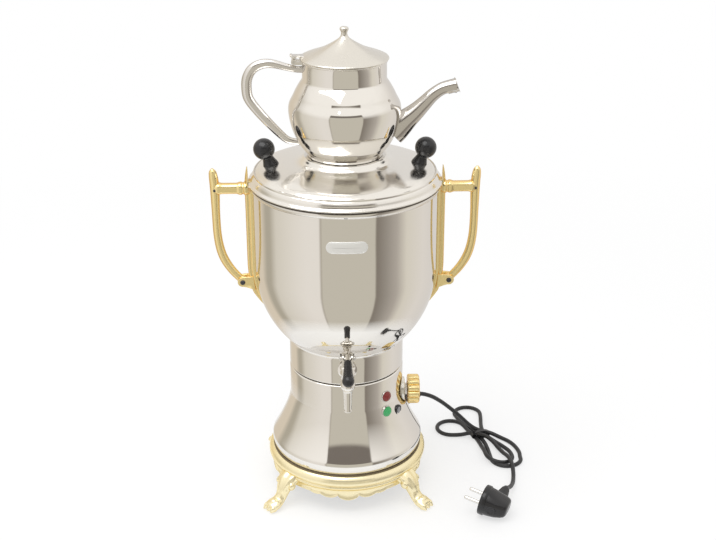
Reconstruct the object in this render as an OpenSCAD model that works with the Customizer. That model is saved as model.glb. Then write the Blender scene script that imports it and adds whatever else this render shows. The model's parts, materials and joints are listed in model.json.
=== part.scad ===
// Electric samovar with a teapot on its lid.
// Millimetres, Z up. The feet stand on Z = 0, the boiler's axis is the Z axis,
// the tap points to -Y and the two side handles lie on -X and +X.

/* [Boiler] */
// Outside radius of the boiler's bowl
bowl_r = 104.5; // [104:0.1:105]
// Height where the bowl's straight wall ends and its round bottom starts
bowl_turn_z = 285; // [283:1:288]
// Depth of the bowl's round bottom below that height
bowl_depth = 118; // [116:1:119]
// Outside radius of the boiler's neck
neck_r = 66.4; // [66.2:0.1:66.6]
// Height of the boiler's flat bottom
neck_z = 158.4; // [158.2:0.1:158.6]
// Height of the boiler's rolled rim
rim_z = 382.3; // [382:0.1:382.4]
// Thickness of the pressed sheet
sheet = 1.2; // [1:0.1:1.4]

/* [Bell] */
// Largest radius of the bell, close above the base
bell_r = 88.5; // [88:0.5:89]
// Height of the bell's bottom edge
bell_z = 50.4; // [50.2:0.1:50.6]
// Height where the bell's flare starts
flare_z = 60; // [58:1:62]
// Height where the flare ends in a straight wall
flare_top_z = 118; // [117:0.5:119]

/* [Base] */
// Outside radius of the cast ring
ring_r = 94.3; // [94:0.1:95]
// Radius at which the toes stand
toe_r = 121; // [119:1:122]
// Height of the lowest point of the scalloped apron
apron_z = 18.5; // [18:0.5:20]

/* [Lid] */
// Outside radius of the boiler's lid
lid_r = 108.2; // [108.1:0.1:108.3]
// Height of the lid's flat top
lid_top_z = 398.4; // [398:0.1:398.8]
// Distance of each ball knob from the axis
knob_x = 82; // [80:1:83]
// Outward lean of each ball knob, in degrees
knob_lean = 21; // [18:1:24]
// Radius of the balls
ball_r = 12; // [11:0.5:12.5]

/* [Teapot] */
// Height of the ring that carries the teapot
rest_z = 413.4; // [413.3:0.1:413.5]
// Radius of the teapot's foot
foot_r = 42.4; // [42:0.1:42.6]
// Largest radius of the teapot
belly_r = 62.3; // [61.8:0.1:62.5]
// Radius of the teapot's neck
pot_neck_r = 46; // [45.8:0.1:46.2]
// Height of the teapot's rim
pot_rim_z = 520.4; // [520.2:0.1:520.5]
// Wall of the teapot
pot_sheet = 1; // [0.8:0.1:1.1]

/* [Tap] */
// Height of the tap's shank
tap_z = 180; // [179.5:0.5:180.5]
// Distance of the tap's spout from the boiler's axis
tap_y = 90; // [89.5:0.5:90.5]
// Droop of the closed lever below level, in degrees
lever_droop = 20; // [17:1:23]

/* [Controls] */
// Height of the thermostat knob
dial_z = 117; // [116.5:0.5:118]
// Radius of the thermostat knob
dial_r = 17.5; // [16.5:0.5:18]
// Bearing of the two lamps round the bell, from the tap towards +X
lamp_turn = 42.5; // [40:0.5:44]
// Height of the upper lamp
lamp_high_z = 134; // [132:0.5:136]
// Height of the lower lamp
lamp_low_z = 114.5; // [114:0.5:116]
// Bearing of the reset button
reset_turn = 60; // [59:0.5:61]
// Height of the reset button
reset_z = 107.6; // [107:0.2:108]

/* [Cord] */
// Diameter of the mains cord
cord_d = 5.2; // [5:0.1:5.4]
// Height of the cord's exit from the bell
exit_z = 81; // [80:0.5:82]
// Bearing of the exit from +X towards +Y
exit_turn = 30; // [29:0.5:31]

/* [Hidden] */
$fn = 96;
gap = 0.05;          // radial clearance of a pin or a nut in its own hole
chrome = [0.80, 0.79, 0.76];
gold = [0.86, 0.68, 0.30];
pale_gold = [0.93, 0.85, 0.55];
black = [0.08, 0.08, 0.09];

// ---------- outlines ----------

// Points on an ellipse from angle a0 to angle a1
function ellipse_arc(centre, radii, a0, a1, n) = [
    for (i = [0:n]) let (a = a0 + (a1 - a0) * i / n)
        [centre[0] + radii[0] * cos(a), centre[1] + radii[1] * sin(a)]];

// Points on a smooth S between two places of an outline
function s_curve(from, to, n) = [
    for (i = [0:n]) let (t = i / n, s = 3 * t * t - 2 * t * t * t)
        [from[0] + (to[0] - from[0]) * s, from[1] + (to[1] - from[1]) * t]];

// Direction away from the metal at one point of an outline that runs upwards
function outward(p, i) =
    let (d = p[min(i + 1, len(p) - 1)] - p[max(i - 1, 0)])
    [d[1], -d[0]] / norm(d);

// A closed outline of the given thickness inside an open one
function walled(p, t) = concat(p, [
    for (i = [len(p) - 1:-1:0]) p[i] - t * outward(p, i)]);

// An open outline closed along the axis, as a solid
function closed_to_axis(p) = concat(
    [[0, p[0][1]]], p, [[0, p[len(p) - 1][1]]]);

module turned(outline) rotate_extrude() polygon(outline);

// ---------- swept tubes ----------

function unit(v) = v / norm(v);
function tangent(p, i) = unit(p[min(i + 1, len(p) - 1)] - p[max(i - 1, 0)]);
function side_of(t, up) = unit(cross(t, up));

// One ring of points round place p, with half-widths w across and h upwards
function ring(p, t, up, w, h, sides) =
    let (s = side_of(t, up), u = cross(s, t))
    [for (k = [0:sides - 1]) let (a = 360 * k / sides)
        p + w * cos(a) * s + h * sin(a) * u];

// A closed tube through the places p; sizes holds [w, h] for each place
module swept(p, sizes, sides, up) {
    n = len(p);
    points = [for (i = [0:n - 1])
        each ring(p[i], tangent(p, i), up, sizes[i][0], sizes[i][1], sides)];
    walls = [for (i = [0:n - 2]) for (k = [0:sides - 1])
        let (m = (k + 1) % sides)
        [i * sides + k, i * sides + m, (i + 1) * sides + m, (i + 1) * sides + k]];
    cap_a = [for (k = [sides - 1:-1:0]) k];
    cap_b = [for (k = [0:sides - 1]) (n - 1) * sides + k];
    polyhedron(points, concat([cap_a], walls, [cap_b]), convexity = 6);
}

// A smooth run of places through hand-set ones (Catmull-Rom), n steps each
function smooth_at(p, i, t) =
    let (a = p[max(i - 1, 0)], b = p[i], c = p[i + 1], d = p[min(i + 2, len(p) - 1)])
    0.5 * (2 * b + (c - a) * t + (2 * a - 5 * b + 4 * c - d) * t * t
           + (3 * b - a - 3 * c + d) * t * t * t);
function smooth(p, n) = concat(
    [for (i = [0:len(p) - 2]) for (k = [0:n - 1]) smooth_at(p, i, k / n)],
    [p[len(p) - 1]]);

// ---------- boiler ----------

function bowl_at(z) = z > bowl_turn_z ? bowl_r
    : bowl_r * sqrt(1 - pow((bowl_turn_z - z) / bowl_depth, 2));
neck_angle = -acos((neck_r + 0.8) / bowl_r);
boiler_outline = concat(
    [[0.01, neck_z], [neck_r - 1.6, neck_z], [neck_r - 0.4, neck_z + 0.5],
     [neck_r, neck_z + 1.8],
     [neck_r, bowl_turn_z + bowl_depth * sin(neck_angle) - 4]],
    ellipse_arc([0, bowl_turn_z], [bowl_r, bowl_depth], neck_angle, 0, 14),
    [[bowl_r, rim_z - 7], [bowl_r + 1.2, rim_z - 5.6], [bowl_r + 2.3, rim_z - 3.4],
     [bowl_r + 2.3, rim_z - 1.4], [bowl_r + 1.3, rim_z]]);
tap_hole_r = 5.3;
leg_x = 9.7;         // the heater's two legs, at +X and -X of this
leg_y = 38.8;
leg_r = 4;

module boiler_shell() color(chrome) difference() {
    turned(walled(boiler_outline, sheet));
    translate([0, -neck_r + 8, tap_z]) rotate([90, 0, 0]) cylinder(r = tap_hole_r, h = 12);
    for (x = [-leg_x, leg_x]) translate([x, leg_y, neck_z - 1])
        cylinder(r = leg_r + 0.3, h = sheet + 2);
}

plate_w = 45;
plate_h = 13.5;
plate_z = 343;
module name_plate() color([0.85, 0.86, 0.87]) intersection() {
    difference() {
        cylinder(r = bowl_r + 0.7, h = 400);
        translate([0, 0, -1]) cylinder(r = bowl_r, h = 402);
    }
    translate([0, -bowl_r + 8, plate_z]) rotate([90, 0, 0]) linear_extrude(12) {
        square([plate_w - plate_h, plate_h], center = true);
        for (s = [-1, 1]) translate([s * (plate_w - plate_h) / 2, 0]) circle(d = plate_h);
    }
}

// ---------- bell ----------

bell_outline = concat(
    [[bell_r - 2, bell_z], [bell_r - 0.4, bell_z + 1.8], [bell_r, bell_z + 4.5]],
    s_curve([bell_r, flare_z], [neck_r + 0.2, flare_top_z], 12),
    [[neck_r + 0.2, neck_z - 3.2], [neck_r - 0.4, neck_z - 1.9],
     [neck_r - 1.8, neck_z - 1.4], [54, neck_z - 1.4]]);
function bell_at(z) = z > flare_top_z ? neck_r + 0.2 : z < flare_z ? bell_r
    : let (t = (z - flare_z) / (flare_top_z - flare_z), s = 3 * t * t - 2 * t * t * t)
      bell_r + (neck_r + 0.2 - bell_r) * s;
module bell_core() turned(closed_to_axis(bell_outline));

// Places children at the bell's wall, their +Z pointing straight out
module on_bell(turn, z) rotate([0, 0, turn - 90]) translate([bell_at(z), 0, z])
    rotate([0, 90, 0]) children();
module on_exit() on_bell(exit_turn + 90, exit_z) children();

module bell_shell() color(chrome) difference() {
    turned(walled(bell_outline, sheet));
    on_bell(lamp_turn, lamp_high_z) translate([0, 0, -9]) cylinder(r = 5.2, h = 18);
    on_bell(lamp_turn, lamp_low_z) translate([0, 0, -9]) cylinder(r = 5.2, h = 18);
    on_bell(reset_turn, reset_z) translate([0, 0, -9]) cylinder(r = 5.2, h = 18);
    on_bell(90, dial_z) translate([0, 0, -9]) cylinder(r = 5.2, h = 18);
    on_exit() translate([0, 0, -14]) cylinder(r = 5.6, h = 28);
}

module neck_gasket() color([0.55, 0.53, 0.5]) translate([0, 0, neck_z - 1.4])
    difference() {
        cylinder(r = neck_r - 2.2, h = 1.4);
        translate([0, 0, -1]) cylinder(r = 55, h = 4);
    }

// ---------- base ----------

ring_outline = [
    [80, 26], [84.5, 26], [87.5, 29], [91, 31.5], [92.6, 35], [91.8, 38.2],
    [93.6, 40.5], [ring_r, 44], [93.8, 48], [92, bell_z], [84.6, bell_z],
    [84.6, 56], [81.5, 56], [81.5, 31], [76, 31], [76, 26]];
leg_turns = [41, 139, -139, -41];
leg_path = [[86, 0, 36], [95, 0, 30], [100.5, 0, 23], [104, 0, 15], [109.5, 0, 9],
    [toe_r - 3, 0, 6.2], [toe_r + 3.6, 0, 5.4]];
leg_size = [[13, 7], [11, 7.5], [7.5, 6.5], [6.2, 5.6], [7.2, 5.8], [9.2, 6], [7, 3.6]];
apron_out = 89;
module apron() intersection() {
    difference() {
        translate([0, 0, apron_z - 2]) cylinder(r = apron_out, h = 20);
        translate([0, 0, apron_z - 3]) cylinder(r = apron_out - 4, h = 22);
    }
    union() {
        translate([0, 0, 29]) cylinder(r = ring_r, h = 10);
        for (q = [0:3]) rotate([0, 0, 90 * q]) {
            translate([0, 0, apron_z + 12]) rotate([0, 90, 0]) cylinder(r = 12, h = ring_r);
            for (a = [-14.5, 14.5]) rotate([0, 0, a]) translate([0, 0, apron_z + 12])
                rotate([0, 90, 0]) cylinder(r = 8, h = ring_r);
        }
    }
}
module base_casting() color(pale_gold) difference() {
    union() {
        turned(ring_outline);
        apron();
        for (a = leg_turns) rotate([0, 0, a])
            swept(smooth(leg_path, 3), smooth(leg_size, 3), 14, [0, 1, 0]);
    }
    translate([0, 0, pad_h - 10]) cylinder(r = 200, h = 10);
    translate([0, 0, 20]) cylinder(r = 76, h = 12);
}
pad_h = 1;
module foot_pads() color(black) for (a = leg_turns) rotate([0, 0, a])
    translate([toe_r - 4, 0, 0]) cylinder(r = 5, h = pad_h);

plate_bottom = 24.4;
module base_plate() color([0.3, 0.3, 0.31]) translate([0, 0, plate_bottom]) difference() {
    cylinder(r = 79.5, h = 1.6);
    translate([0, 0, -1]) cylinder(r = 3.3, h = 4);
    for (k = [0:7]) rotate([0, 0, 22.5 + 45 * k]) translate([60, 0, -1]) cylinder(r = 3, h = 4);
}
module tie_rod() color(chrome) translate([0, 0, 17]) cylinder(r = 3, h = neck_z - 17);
module tie_nut() color(chrome) difference() {
    union() {
        translate([0, 0, plate_bottom - 6.2]) cylinder(r = 5.8, h = 5, $fn = 6);
        translate([0, 0, plate_bottom - 1.2]) cylinder(r = 8, h = 1.2);
    }
    translate([0, 0, 15]) cylinder(r = 3 + gap, h = 12);
}

// ---------- heater and electrics inside ----------

heater_r = 40;
heater_z = neck_z + 18;
rod_r = 3.5;
module heating_element() color([0.45, 0.44, 0.42]) {
    gap_angle = asin(leg_x / heater_r);
    translate([0, 0, heater_z]) rotate([0, 0, 90 + gap_angle])
        rotate_extrude(angle = 360 - 2 * gap_angle) translate([heater_r, 0]) circle(r = rod_r);
    for (x = [-leg_x, leg_x]) translate([x, leg_y, neck_z - 12])
        cylinder(r = leg_r, h = heater_z + leg_r + 1 - neck_z + 12);
}
module element_seals() color([0.7, 0.3, 0.2]) for (x = [-leg_x, leg_x])
    translate([x, leg_y, neck_z + sheet]) difference() {
        cylinder(r = 7.5, h = 2);
        translate([0, 0, -1]) cylinder(r = leg_r + gap, h = 4);
    }
module element_nuts() color([0.8, 0.7, 0.4]) for (x = [-leg_x, leg_x])
    translate([x, leg_y, neck_z - 5]) difference() {
        cylinder(r = 8, h = 5, $fn = 6);
        translate([0, 0, -1]) cylinder(r = leg_r + gap, h = 7);
    }
block_z = 62;
block_y = 44;
module terminal_block() color([0.88, 0.86, 0.8]) difference() {
    translate([-18, block_y - 7, block_z]) cube([36, 12, 12]);
    for (x = [-leg_x, 0, leg_x]) translate([x, block_y - 1, block_z + 4]) cylinder(r = 2, h = 12);
}
module wiring_bracket() color([0.7, 0.7, 0.68]) {
    translate([-16, block_y + 5, 26]) cube([32, 1.6, 46]);
    translate([-16, block_y - 7, 26]) cube([32, 13.6, 1.6]);
}
module heater_wires() color([0.75, 0.2, 0.15]) for (x = [-leg_x, leg_x])
    swept([[x, block_y - 1, block_z + 4.2], [x, block_y - 1, 90], [x, leg_y, 128],
           [x, leg_y, neck_z - 12]], [for (k = [0:3]) [1.5, 1.5]], 10, [1, 0, 0]);
bulb_z = neck_z - 3.4;
capillary_x = 46;
module sensor_bulb() color([0.75, 0.5, 0.3]) {
    translate([-12, 0, 0]) translate([0, -14, bulb_z]) rotate([0, 90, 0]) cylinder(r = 3, h = 48);
    translate([36, -14, bulb_z]) rotate([0, 90, 0]) cylinder(r = 1, h = capillary_x - 36 - 5);
    translate([capillary_x - 5, -14, bulb_z - 5]) rotate([90, 0, 0])
        rotate_extrude(angle = 90) translate([5, 0]) circle(r = 1);
    translate([capillary_x, -14, dial_z + 17]) cylinder(r = 1, h = bulb_z - 5 - dial_z - 17);
}
module sensor_clip() color([0.7, 0.7, 0.7]) difference() {
    translate([4, -20, bulb_z - 4.2]) cube([8, 12, 7.6]);
    translate([0, -14, bulb_z]) rotate([0, 90, 0]) cylinder(r = 3 + gap, h = 20);
}

// ---------- thermostat ----------

module along_x(x, z) translate([x, 0, z]) rotate([0, 90, 0]) children();
dial_in = neck_r + 0.2;   // where the straight wall of the bell stands on +X
module thermostat_body() color([0.85, 0.85, 0.82]) difference() {
    union() {
        translate([dial_in - 26, -15, dial_z - 17]) cube([20, 30, 34]);
        along_x(dial_in - 8, dial_z) cylinder(r = 5, h = 14);
    }
    along_x(dial_in - 22, dial_z) cylinder(r = 3 + gap, h = 40);
}
module thermostat_bezel() color([0.82, 0.80, 0.74]) difference() {
    along_x(dial_in - 4, dial_z) cylinder(r = dial_r - 0.5, h = 7);
    bell_core();
    along_x(dial_in - 6, dial_z) cylinder(r = 5 + gap, h = 20);
}
module thermostat_nut() color(chrome) difference() {
    along_x(dial_in + 3, dial_z) cylinder(r = 8, h = 2.4, $fn = 6);
    along_x(dial_in, dial_z) cylinder(r = 5 + gap, h = 10);
}
module thermostat_spindle() color(chrome)
    along_x(dial_in - 21, dial_z) cylinder(r = 3, h = 37);
knob_gap = 6;         // from the bell's straight wall to the knob's inner face
dial_depth = 14;
module thermostat_knob() color(gold) difference() {
    along_x(dial_in + knob_gap, dial_z) union() {
        cylinder(r = dial_r - 2.2, h = dial_depth);
        for (k = [0:11]) rotate([0, 0, 30 * k]) translate([dial_r - 3.4, 0, 0])
            cylinder(r = 3.4, h = dial_depth - 1);
    }
    along_x(dial_in + 3, dial_z) cylinder(r = 9.5, h = 5.4);
    along_x(dial_in + 3, dial_z) cylinder(r = 3, h = 13);
}

// ---------- lamps and reset button ----------

module lamp_lens() {
    translate([0, 0, 1.6]) intersection() {
        translate([0, 0, -5]) sphere(r = 7.6);
        cylinder(r = 5.6, h = 6);
    }
    translate([0, 0, -1]) cylinder(r = 4, h = 2.8);
}
module red_lamp() color([0.75, 0.08, 0.08]) on_bell(lamp_turn, lamp_high_z) lamp_lens();
module green_lamp() color([0.1, 0.7, 0.3]) on_bell(lamp_turn, lamp_low_z) lamp_lens();
module lamp_holders() color([0.5, 0.5, 0.5]) for (z = [lamp_high_z, lamp_low_z]) {
    on_bell(lamp_turn, z) difference() {
        translate([0, 0, -16]) cylinder(r = 5, h = 17);
        translate([0, 0, -1]) cylinder(r = 4, h = 10);
    }
    difference() {
        on_bell(lamp_turn, z) translate([0, 0, -2]) cylinder(r = 6.6, h = 3.6);
        bell_core();
        on_bell(lamp_turn, z) translate([0, 0, -5]) cylinder(r = 5, h = 16);
    }
    on_bell(lamp_turn, z) translate([0, 0, 1]) difference() {
        cylinder(r = 5, h = 0.6);
        translate([0, 0, -1]) cylinder(r = 4, h = 3);
    }
}
module reset_housing() color([0.4, 0.4, 0.4]) {
    on_bell(reset_turn, reset_z) difference() {
        union() {
            translate([0, 0, -18]) cylinder(r = 5, h = 20);
            translate([0, 0, -24]) cylinder(r = 8, h = 8);
        }
        translate([0, 0, -8]) cylinder(r = 4.1 + gap, h = 12);
    }
    difference() {
        on_bell(reset_turn, reset_z) translate([0, 0, -4]) cylinder(r = 6.8, h = 6);
        bell_core();
        on_bell(reset_turn, reset_z) translate([0, 0, -8]) cylinder(r = 5, h = 16);
    }
}
module reset_button() color([0.6, 0.6, 0.6]) on_bell(reset_turn, reset_z) {
    translate([0, 0, -5]) cylinder(r = 4.1, h = 8.6);
}

// ---------- side handles ----------

bracket_w = 12;
bar_out = 6.4;       // how far the bracket stands proud of the bowl
arm_z = 374;
lug_x = 118.5;
lug_z = 261.5;
grip_x = 145.8;
tip_z = 227.5;       // the bracket's lower tip
module bowl_core() turned(closed_to_axis(boiler_outline));
bracket_outline = concat(
    [for (z = [tip_z:7:286]) [bowl_at(z) + bar_out * min(1, (z - tip_z + 2) / 22), z]],
    [[bowl_r + bar_out, 300], [bowl_r + bar_out, 370],
     [lid_r + 3.2, 378], [lid_r + 3, 390], [lid_r + 0.9, 398],
     [lid_r + 0.5, 390], [lid_r + 0.5, 380], [bowl_r - 4, 374], [bowl_r - 4, 285]],
    [for (z = [tip_z + 49:-7:tip_z]) [bowl_at(z) - 5, z]]);
module bracket() difference() {
    union() {
        translate([0, bracket_w / 2, 0]) rotate([90, 0, 0]) linear_extrude(bracket_w)
            polygon(bracket_outline);
        translate([bowl_r - 4, 0, arm_z]) rotate([0, 90, 0]) cylinder(r = 6.8, h = 15);
        for (y = [-6.5, 3.2]) translate([lug_x, y + 3.3, lug_z]) rotate([90, 0, 0])
            cylinder(r = 6.5, h = 3.3);
        for (y = [-6.5, 3.2]) translate([bowl_at(lug_z) - 2, y, lug_z - 6.5])
            cube([lug_x - bowl_at(lug_z) + 2, 3.3, 13]);
    }
    bowl_core();
    translate([0, 0, rim_z - 12]) cylinder(r = bowl_r + 2.6, h = 20);
    translate([lug_x, 10, lug_z]) rotate([90, 0, 0]) cylinder(r = 2.2, h = 20);
}
grip_path = [
    [lug_x, 0, lug_z], [123, 0, 267], [131, 0, 276.5], [138.6, 0, 288.5], [142.8, 0, 302],
    [145.2, 0, 320], [grip_x, 0, 345], [grip_x, 0, 366], [grip_x + 0.4, 0, 380],
    [grip_x + 1, 0, 389], [grip_x + 1.6, 0, 396]];
grip_size = [
    [5, 2.9], [4.6, 2.9], [4.2, 4.4], [4.3, 4.8], [4.3, 4.6], [4.3, 4.4], [4.3, 4.4],
    [4.8, 5], [4.8, 5.2], [3.9, 4.6], [1, 1.2]];
module grip() difference() {
    union() {
        swept(smooth(grip_path, 2), smooth(grip_size, 2), 14, [0, 1, 0]);
        translate([bowl_r + 11, 0, arm_z]) rotate([0, 90, 0]) cylinder(r = 5.4, h = 33);
        translate([lug_x, 3, lug_z]) rotate([90, 0, 0]) cylinder(r = 6.5, h = 6);
    }
    translate([lug_x, 10, lug_z]) rotate([90, 0, 0]) cylinder(r = 2.2, h = 20);
}
module left_bracket() color(gold) mirror([1, 0, 0]) bracket();
module right_bracket() color(gold) bracket();
module left_grip() color(gold) mirror([1, 0, 0]) grip();
module right_grip() color(gold) grip();
module handle_screws() color([0.35, 0.33, 0.3]) for (s = [-1, 1])
    translate([s * lug_x, 0, lug_z]) rotate([90, 0, 0]) {
        translate([0, 0, -6.5]) cylinder(r = 2.1, h = 13);
        translate([0, 0, 6.5]) cylinder(r = 3.4, h = 1.8);
    }

// ---------- tap ----------

module along_tap(from, to, r) translate([0, -from, tap_z]) rotate([90, 0, 0])
    cylinder(r = r, h = to - from);
bonnet_z = tap_z + 12;
pivot_z = tap_z + 25;
seat_z = tap_z - 6;
spout_z = 138;
module tap_body() color(chrome) difference() {
    union() {
        along_tap(52, tap_y - 4, 5);
        translate([0, -tap_y, seat_z - 5]) cylinder(r = 8, h = bonnet_z - seat_z + 5);
        translate([0, -tap_y, seat_z - 9]) cylinder(r1 = 5.2, r2 = 8, h = 4);
        translate([0, -tap_y, spout_z]) cylinder(r = 5.2, h = seat_z - 9 - spout_z);
    }
    along_tap(50, tap_y, 3);
    translate([0, -tap_y, spout_z - 1]) cylinder(r = 3.6, h = seat_z - spout_z + 2);
    translate([0, -tap_y, seat_z]) cylinder(r = 6, h = bonnet_z - seat_z + 1);
}
module tap_flange() color(chrome) difference() {
    along_tap(69, 72, 11);
    along_tap(60, 80, 5 + gap);
}
module tap_washers() color([0.3, 0.3, 0.3]) difference() {
    union() {
        along_tap(60, 69, 9.5);
        along_tap(58.5, 60, 9.5);
    }
    along_tap(50, 80, 5 + gap);
    difference() {
        cylinder(r = neck_r, h = 400);
        translate([0, 0, -1]) cylinder(r = neck_r - sheet, h = 402);
    }
}
module tap_backnut() color(chrome) difference() {
    along_tap(54, 58.5, 9);
    along_tap(50, 62, 5 + gap);
}
module tap_bonnet() color(chrome) difference() {
    translate([0, -tap_y, 0]) union() {
        translate([0, 0, bonnet_z]) cylinder(r = 8.6, h = 4);
        for (x = [-6.4, 3.6]) translate([x, -4.5, bonnet_z]) cube([2.8, 9, pivot_z - bonnet_z]);
        for (x = [-6.4, 3.6]) translate([x, 0, pivot_z]) rotate([0, 90, 0])
            cylinder(r = 4.5, h = 2.8);
    }
    translate([0, -tap_y, bonnet_z - 1]) cylinder(r = 2.5 + gap, h = 10);
    translate([0, -tap_y, bonnet_z + 1]) cylinder(r = 4.3, h = 10);
    translate([-10, -tap_y, pivot_z]) rotate([0, 90, 0]) cylinder(r = 1.5, h = 20);
}
module tap_pin() color(chrome) translate([-7, -tap_y, pivot_z]) rotate([0, 90, 0])
    cylinder(r = 1.5, h = 14);
cam_r = 4.5;
cam_off = 1.7;
cam_start = 40;      // cam's offset direction from straight down, when closed
plunger_top = pivot_z - cam_r - cam_off * cos(cam_start) - 0.25;
module on_lever() translate([0, -tap_y, pivot_z]) rotate([lever_droop, 0, 0]) children();
grip_start = 9;
grip_len = 35.5;
module tap_lever() color(chrome) difference() {
    union() {
        translate([-3.2, -tap_y, pivot_z]) rotate([0, 90, 0]) cylinder(r = 3.6, h = 6.4);
        translate([-3.2, -tap_y - cam_off * sin(cam_start), pivot_z - cam_off * cos(cam_start)])
            rotate([0, 90, 0]) cylinder(r = cam_r, h = 6.4);
        on_lever() translate([0, 0, 4]) rotate([90, 0, 0]) cylinder(r = 2.8, h = grip_start + 12);
    }
    translate([-5, -tap_y, pivot_z]) rotate([0, 90, 0]) cylinder(r = 1.5 + gap, h = 10);
}
module tap_grip() color(black) on_lever() translate([0, -grip_start, 4]) rotate([90, 0, 0])
    difference() {
        rotate_extrude() polygon(concat(
            [[0, 0], [3.2, 0], [4.2, 1], [4.6, 4], [5.2, 15], [5.9, 24]],
            ellipse_arc([0, grip_len - 7], [6.6, 7], -20, 90, 10)));
        translate([0, 0, -1]) cylinder(r = 2.8, h = 13);
    }
module tap_plunger() color([0.7, 0.7, 0.68]) translate([0, -tap_y, 0]) {
    translate([0, 0, seat_z + 0.15]) cylinder(r = 5.4, h = 4);
    translate([0, 0, seat_z + 4]) cylinder(r = 2.5, h = plunger_top - seat_z - 4);
    translate([0, 0, plunger_top - 1]) cylinder(r = 3.9, h = 1);
}
spring_wire = 0.35;
spring_low = bonnet_z + 1 + spring_wire + 0.05;
spring_high = plunger_top - 1 - spring_wire - 0.05;
module tap_spring() color([0.6, 0.6, 0.6])
    swept([for (k = [0:48]) [3.35 * cos(k * 30), -tap_y + 3.35 * sin(k * 30),
        spring_low + (spring_high - spring_low) * k / 48]],
        [for (k = [0:48]) [spring_wire, spring_wire]], 8, [0, 0, 1]);

// ---------- boiler lid ----------

lid_outline = concat(
    [[lid_r - 1.4, rim_z + 0.3], [lid_r - 0.2, rim_z + 1.2]],
    ellipse_arc([lid_r - 11.2, rim_z + 4.5], [11.2, lid_top_z - rim_z - 5], 0, 84, 8),
    [[90, lid_top_z], [60, lid_top_z + 0.8]],
    ellipse_arc([60, lid_top_z + 14], [14, 13.2], -110, -172, 7),
    [[46, rest_z]]);
module lid_core() turned(closed_to_axis(lid_outline));
module on_knob(s) translate([s * knob_x, 0, lid_top_z + 1.6]) rotate([0, s * knob_lean, 0])
    children();
module boiler_lid() color(chrome) difference() {
    turned(walled(lid_outline, sheet));
    for (s = [-1, 1]) on_knob(s) translate([0, 0, -10]) cylinder(r = 2.4, h = 12);
}
module lid_inside() turned(closed_to_axis([for (i = [0:len(lid_outline) - 1])
    lid_outline[i] - sheet * outward(lid_outline, i)]));
module lid_locating_ring() color(chrome) difference() {
    union() {
        translate([0, 0, rim_z - 10]) cylinder(r = bowl_r - sheet - 1.2, h = 12.4);
        intersection() {
            translate([0, 0, rim_z]) cylinder(r = bowl_r - sheet - 1.2, h = 20);
            lid_inside();
        }
    }
    translate([0, 0, rim_z - 11]) cylinder(r = bowl_r - sheet - 2.4, h = 40);
}
module teapot_rest() color(chrome) difference() {
    intersection() {
        translate([0, 0, rest_z - 3]) cylinder(r = 50, h = 4);
        lid_inside();
    }
    translate([0, 0, rest_z - 4]) cylinder(r = 34, h = 6);
    translate([0, 0, rest_z - 4]) cylinder(r = 40, h = 2.8);
}
module lid_knobs() color(black) for (s = [-1, 1]) difference() {
    on_knob(s) rotate_extrude() polygon(concat(
        [[0, -5], [8.6, -5], [8.8, -1], [8, 2.4], [6.6, 5.4], [6.1, 8.6]],
        ellipse_arc([0, 21], [ball_r, ball_r], -55, 90, 14)));
    lid_core();
    on_knob(s) translate([0, 0, -8]) cylinder(r = 2, h = 20);
}
module lid_knob_screws() color(chrome) for (s = [-1, 1]) on_knob(s) {
    translate([0, 0, -7]) cylinder(r = 2, h = 19);
    translate([0, 0, -9.4]) cylinder(r = 4, h = 2.4);
}

// ---------- teapot ----------

pot_outline = [
    [0.01, rest_z + 2.4], [36, rest_z + 2.4], [39, rest_z + 0.8], [40.4, rest_z + 0.2],
    [foot_r - 0.6, rest_z + 0.4], [foot_r, rest_z + 1.6], [foot_r - 1, rest_z + 4.4],
    [44, rest_z + 9.6], [49, rest_z + 17.6], [54, rest_z + 26.6],
    [58, rest_z + 36.6], [60, rest_z + 45.6], [60.4, rest_z + 50.6],
    [60.8, rest_z + 52.8], [belly_r, rest_z + 56.6], [belly_r, rest_z + 60.6],
    [60.5, rest_z + 67.6], [56, rest_z + 75.6], [50.5, rest_z + 82.6],
    [47, rest_z + 87.1], [pot_neck_r, rest_z + 91], [pot_neck_r, pot_rim_z - 2.4],
    [pot_neck_r + 1, pot_rim_z - 1.4], [pot_neck_r + 1, pot_rim_z]];
module pot_core() turned(closed_to_axis(pot_outline));
spout_root_z = 450;
module teapot_body() color(chrome) difference() {
    turned(walled(pot_outline, pot_sheet));
    for (k = [0:5]) translate([50, 0, spout_root_z]) rotate([0, 90, 0])
        rotate([0, 0, 60 * k]) translate([6, 0, 0]) cylinder(r = 1.6, h = 16);
    translate([50, 0, spout_root_z]) rotate([0, 90, 0]) cylinder(r = 1.6, h = 16);
}
spout_path = [
    [62, 0, 447], [70, 0, 454], [78, 0, 461], [87, 0, 470], [96, 0, 479.2],
    [106, 0, 486.2], [115, 0, 488.8], [122.8, 0, 489.4]];
spout_size = [
    [15.5, 12], [11.4, 10.6], [9.4, 9.2], [7.8, 7.6], [6.5, 6.8], [5.8, 6.4], [5.9, 6.4],
    [7.7, 7]];
mouth_lean = 20;     // how far the spout's mouth looks up, in degrees
belly_table = [for (i = [6:len(pot_outline) - 3]) [pot_outline[i][1], pot_outline[i][0]]];
function spout_places(sides, thin) =
    let (p = smooth(spout_path, 2), s = smooth(spout_size, 2), n = len(p))
    [for (i = [0:n - 1])
        let (w = s[i][0] - thin, h = s[i][1] - thin,
             t = i == n - 1 ? [cos(mouth_lean), 0, sin(mouth_lean)] : tangent(p, i))
        each (i > 0 ? ring(p[i], t, [0, 1, 0], w, h, sides)
            : [for (k = [0:sides - 1])
                let (a = 360 * k / sides, y = h * sin(a), z = p[0][2] + w * cos(a))
                [sqrt(pow(lookup(z, belly_table) - pot_sheet / 2, 2) - y * y), y, z]])];
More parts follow.
